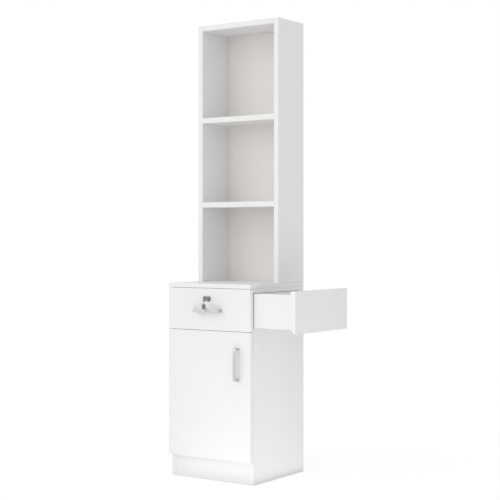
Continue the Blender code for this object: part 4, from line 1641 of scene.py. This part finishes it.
@dataclass
class Door(Assembly):
    """The cupboard door: its panel, with the bores for hinges and handle, its bumpers and fittings."""

    handle: BowHandle
    hinges: tuple[ConcealedHinge, ...]
    bumper_inset: float = 0.010
    bumper_rise: float = 0.022
    bumper_drop: float = 0.006

    def parts(self) -> list[Part]:
        """List the panel with its bores, the bumpers, the handle and the hinges.

        Returns:
            The parts in order.
        """
        bores = (*self.handle.bores(), *(hinge.cup_bore() for hinge in self.hinges))
        all_round = (Side.TOP, Side.UNDER, Side.LEFT, Side.RIGHT)
        low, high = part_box("door_panel")
        heights = (low.z + self.bumper_rise, high.z - self.bumper_drop)
        spots = [Vector((high.x - self.bumper_inset, high.y, height)) for height in heights]
        panel = Board("door_panel", Body.DOOR, bands=all_round, bores=bores)
        return [panel, Bumpers("door_bumpers", Body.DOOR, spots, Y), self.handle, *self.hinges]


@dataclass
class FingerFront(Board):
    """The tool drawer's front, bevelled behind its lower edge as a finger pull."""

    finger: float = 0.016

    def shape(self) -> Piece:
        """Extrude the front with its bevel.

        Returns:
            The front.
        """
        low, high = self.space.low, self.space.high
        line = [(low.x, low.z + self.finger), (low.x + self.finger, low.z)]
        line += [(high.x, low.z), (high.x, high.z), (low.x, high.z)]
        return Bench.sweep(f"{self.node}_board", line, self.space, 1)


@dataclass
class HolderBoard(Board):
    """The tool drawer's holder: a board with a row of rounded holes."""

    holes: tuple[float, ...] = (0.038, 0.038, 0.025)
    pitch: float = 0.090
    round_over: float = 0.0015
    hole_sides: int = 72

    def build(self) -> list[Piece]:
        """Model the board with its holes.

        Returns:
            The board, as a list of one piece.
        """
        piece = self.shape()
        thick = Z * self.space.size.z
        spots = [self.space.at() + Y * (step - 1) * self.pitch for step in range(len(self.holes))]
        bores = [Bore(at - thick, at + thick, hole, self.hole_sides) for at, hole in zip(spots, self.holes)]
        Bench.cut(piece, [bore.cutter() for bore in bores])
        Bench.ease(piece, self.round_over, self.round_steps)
        return [settle(piece, self.body, self.face, self.node)]


@dataclass
class ToolDrawer(Assembly):
    """The pull-out on the right: front, walls, bottom, and the holder board on its cleats."""

    wall_round: float = 0.0005
    bumper_height: float = 0.0011
    bumper_drop: float = 0.0063
    bumper_front: float = 0.034
    bumper_rear: float = 0.012

    def parts(self) -> list[Part]:
        """List the front, the box, the holder and the bumpers.

        Returns:
            The parts in order.
        """
        body = Body.TOOL_DRAWER
        walls = ("tool_wall_front", "tool_wall_rear", "tool_wall_inner")
        panels = ("tool_bottom", "holder_cleat_front", "holder_cleat_rear")
        low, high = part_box("tool_front")
        ends = (low.y + self.bumper_front, high.y - self.bumper_rear)
        spots = [Vector((low.x, y, high.z - self.bumper_drop)) for y in ends]
        return [
            FingerFront("tool_front", body, bands=(Side.TOP, Side.FRONT, Side.REAR)),
            *(BoxWall(node, body, round_over=self.wall_round) for node in walls),
            *(ThinPanel(node, body) for node in panels),
            HolderBoard("tool_holder", body),
            Bumpers("tool_drawer_bumpers", body, spots, -X, height=self.bumper_height),
        ]


@dataclass
class ToolRails(Part):
    """The telescopic rails under the tool drawer: a bar, and two channels that nest over it."""

    steel: float = 0.0015
    bend: float = 0.0004
    inner_steps: int = 3
    outer_steps: int = 4
    groove: float = 0.0022
    groove_depth: float = 0.0012
    groove_rise: float = 0.42
    groove_sides: int = 24
    bar_round: float = 0.0008
    bar_round_steps: int = 3

    def bar(self, node: str) -> Piece:
        """Model the fixed bar, with a ball track along both sides.

        Args:
            node: the bar's node.

        Returns:
            The bar.
        """
        space = Space.of(node)
        low, high = space.low, space.high
        piece = Bench.slab(f"{node}_bar", low, high)
        Bench.ease(piece, self.bar_round, self.bar_round_steps)
        out, height = self.groove - self.groove_depth, low.z + space.size.z * self.groove_rise
        tracks = []
        for y in (low.y - out, high.y + out):
            start, end = Vector((low.x - PAST, y, height)), Vector((high.x + PAST, y, height))
            tracks.append(Bench.rod("track", start, end, self.groove, self.groove_sides))
        Bench.cut(piece, tracks)
        return settle(piece, Body.CABINET, ZINC, node)

    def cap(self, node: str, body: Body) -> Piece:
        """Model a channel with its open side down.

        Args:
            node: the channel's node.
            body: the body that it rides on.

        Returns:
            The channel.
        """
        space = Space.of(node)
        low, high = space.low, space.high
        corners = [(low.y, low.z), (low.y, high.z), (high.y, high.z), (high.y, low.z)]
        line = folded(corners, self.steel, self.bend, self.inner_steps, self.outer_steps)
        return settle(Bench.sweep(f"{node}_channel", line, space, 0), body, ZINC, node)

    def build(self) -> list[Piece]:
        """Model and dress both rails.

        Returns:
            Their members.
        """
        made = []
        for word in ("front", "rear"):
            made.append(self.bar(f"tool_rail_fixed_{word}"))
            made.append(self.cap(f"tool_rail_mid_{word}", Body.TOOL_RAIL_MIDDLE))
            made.append(self.cap(f"tool_rail_moving_{word}", Body.TOOL_DRAWER))
        return made


def put_in_scene(data: bpy.types.ID) -> Piece:
    """Put a lamp, a camera or a curve in the scene.

    Args:
        data: what the new object holds.

    Returns:
        The object, named as its data is.
    """
    made = bpy.data.objects.new(data.name, data)
    bpy.context.scene.collection.objects.link(made)
    return made


@dataclass(frozen=True)
class SoftLamp:
    """A broad lamp far off, named by where it stands as seen from the station.

    Its turn is in degrees to the right of the front, and its rise in degrees above the floor.
    """

    name: str
    turn: float
    rise: float
    strength: float
    spread: float = 75.0

    def hang(self) -> None:
        """Put the lamp in the scene."""
        turn, rise = math.radians(self.turn), math.radians(self.rise)
        stand = Vector((math.sin(turn), -math.cos(turn), math.tan(rise)))
        data = bpy.data.lights.new(self.name, "SUN")
        data.energy = self.strength
        data.angle = math.radians(self.spread)
        put_in_scene(data).rotation_euler = stand.to_track_quat("Z", "Y").to_euler()


@dataclass(frozen=True)
class FloorCard:
    """A white card that lies on the floor and throws light up at the station, out of the camera's sight."""

    name: str
    low: tuple[float, float]
    high: tuple[float, float]
    glow: float = 1.6
    lift: float = 0.005

    def lay(self) -> None:
        """Put the card in the scene, lit by its glow in watts for each square metre."""
        low, high = Vector(self.low), Vector(self.high)
        data = bpy.data.lights.new(self.name, "AREA")
        data.shape = "RECTANGLE"
        data.size, data.size_y = high - low
        data.energy = self.glow * data.size * data.size_y
        card = put_in_scene(data)
        card.location = ((low + high) / 2).to_3d() + Z * self.lift
        card.rotation_euler = (math.pi, 0, 0)
        card.visible_camera = False


@dataclass
class Studio:
    """The floor, the light and the camera."""

    camera_at: tuple[float, float, float] = (2.74614, -4.01437, 0.94109)
    camera_turn: float = 34.58745
    lens: float = 89.2287
    sensor: float = 36.0
    shift_y: float = -0.025325
    floor_size: float = 60.0
    floor_tone: float = 0.90
    floor_white: float = 1.14
    floor_white_share: float = 0.68
    surround: float = 0.68
    lamps: tuple[SoftLamp, ...] = (
        SoftLamp("front_left_key", turn=-30.0, rise=20.0, strength=0.87),
        SoftLamp("front_right_fill", turn=60.0, rise=35.0, strength=0.2),
    )
    cards: tuple[FloorCard, ...] = (
        FloorCard("front_card", low=(-0.25, -1.75), high=(1.75, -0.19)),
        FloorCard("side_card", low=(0.115, -0.19), high=(1.75, 0.25)),
    )

    def camera(self) -> None:
        """Put the camera at the photograph's viewing angle."""
        data = bpy.data.cameras.new("camera")
        data.lens = self.lens
        data.sensor_width = self.sensor
        data.shift_y = self.shift_y
        camera = put_in_scene(data)
        camera.location = self.camera_at
        camera.rotation_euler = (math.radians(90), 0, math.radians(self.camera_turn))
        bpy.context.scene.camera = camera

    def seen_directly(self, tree: bpy.types.NodeTree) -> bpy.types.NodeSocket:
        """Find where the camera sees a surface itself, mirrored or through glass.

        Args:
            tree: the node tree of the surface or of the world.

        Returns:
            A socket that is 1 there and 0 elsewhere.
        """
        path = add_node(tree, "LightPath", {}).outputs
        seen = path["Is Camera Ray"]
        for word in ("Is Glossy Ray", "Is Transmission Ray"):
            either = add_node(tree, "Math", {0: seen, 1: path[word]})
            either.operation = "MAXIMUM"
            seen = either.outputs["Value"]
        return seen

    def world(self) -> None:
        """Make a white surround that lights the object at its own lower level."""
        world = bpy.data.worlds.new("white_surround")
        world.use_nodes = True
        tree = world.node_tree
        white = (1.0, 1.0, 1.0, 1.0)
        light = tree.nodes["Background"]
        wire(tree, light, {"Color": white, "Strength": self.surround})
        shown = add_node(tree, "Background", {"Color": white, "Strength": 1.0})
        sight = {"Fac": self.seen_directly(tree), 1: light.outputs[0], 2: shown.outputs[0]}
        mix = add_node(tree, "MixShader", sight)
        wire(tree, tree.nodes["World Output"], {"Surface": mix.outputs["Shader"]})
        bpy.context.scene.world = world

    def floor(self) -> None:
        """Lay a pale floor, seen as white with a faint shadow."""
        Bench.hold()
        bpy.ops.mesh.primitive_plane_add(size=self.floor_size)
        floor = Bench.named("studio_floor")
        material = bpy.data.materials.new("pale_floor")
        material.use_nodes = True
        tree = material.node_tree
        tree.nodes.remove(tree.nodes["Principled BSDF"])
        matt = add_node(tree, "BsdfDiffuse", {"Color": (*[self.floor_tone] * 3, 1.0)})
        white = add_node(tree, "Emission", {"Strength": self.floor_white})
        share = add_node(tree, "Math", {0: self.seen_directly(tree), 1: self.floor_white_share})
        share.operation = "MULTIPLY"
        sight = {"Fac": share.outputs["Value"], 1: matt.outputs["BSDF"], 2: white.outputs["Emission"]}
        mix = add_node(tree, "MixShader", sight)
        wire(tree, tree.nodes["Material Output"], {"Surface": mix.outputs["Shader"]})
        floor.data.materials.append(material)

    def build(self) -> None:
        """Set up the studio."""
        self.camera()
        self.world()
        self.floor()
        for lamp in self.lamps:
            lamp.hang()
        for card in self.cards:
            card.lay()
        bpy.context.scene.view_settings.view_transform = "Standard"


def main() -> None:
    """Build the station piece by piece, report each piece, and set up the studio."""
    logging.basicConfig(level=logging.INFO, format="%(message)s")
    Studio().build()
    drawer_handle = BowHandle("drawer_handle", Body.FRONT_DRAWER)
    door_handle = BowHandle("door_handle", Body.DOOR, upright=True)
    lock = DrawerLock()
    hinges = tuple(ConcealedHinge(word) for word in ("lower", "upper"))
    assemblies = [
        BaseCabinet(),
        Hutch(),
        FrontDrawer(lock, drawer_handle),
        drawer_handle,
        lock,
        KeySet(),
        DrawerSlides(),
        Door(door_handle, hinges),
        ToolDrawer(),
        ToolRails(),
    ]
    for assembly in assemblies:
        for piece in assembly.build():
            LOG.info("%s: %s, %d faces", type(assembly).__name__, piece.name, len(piece.data.polygons))


if __name__ == "__main__":
    main()
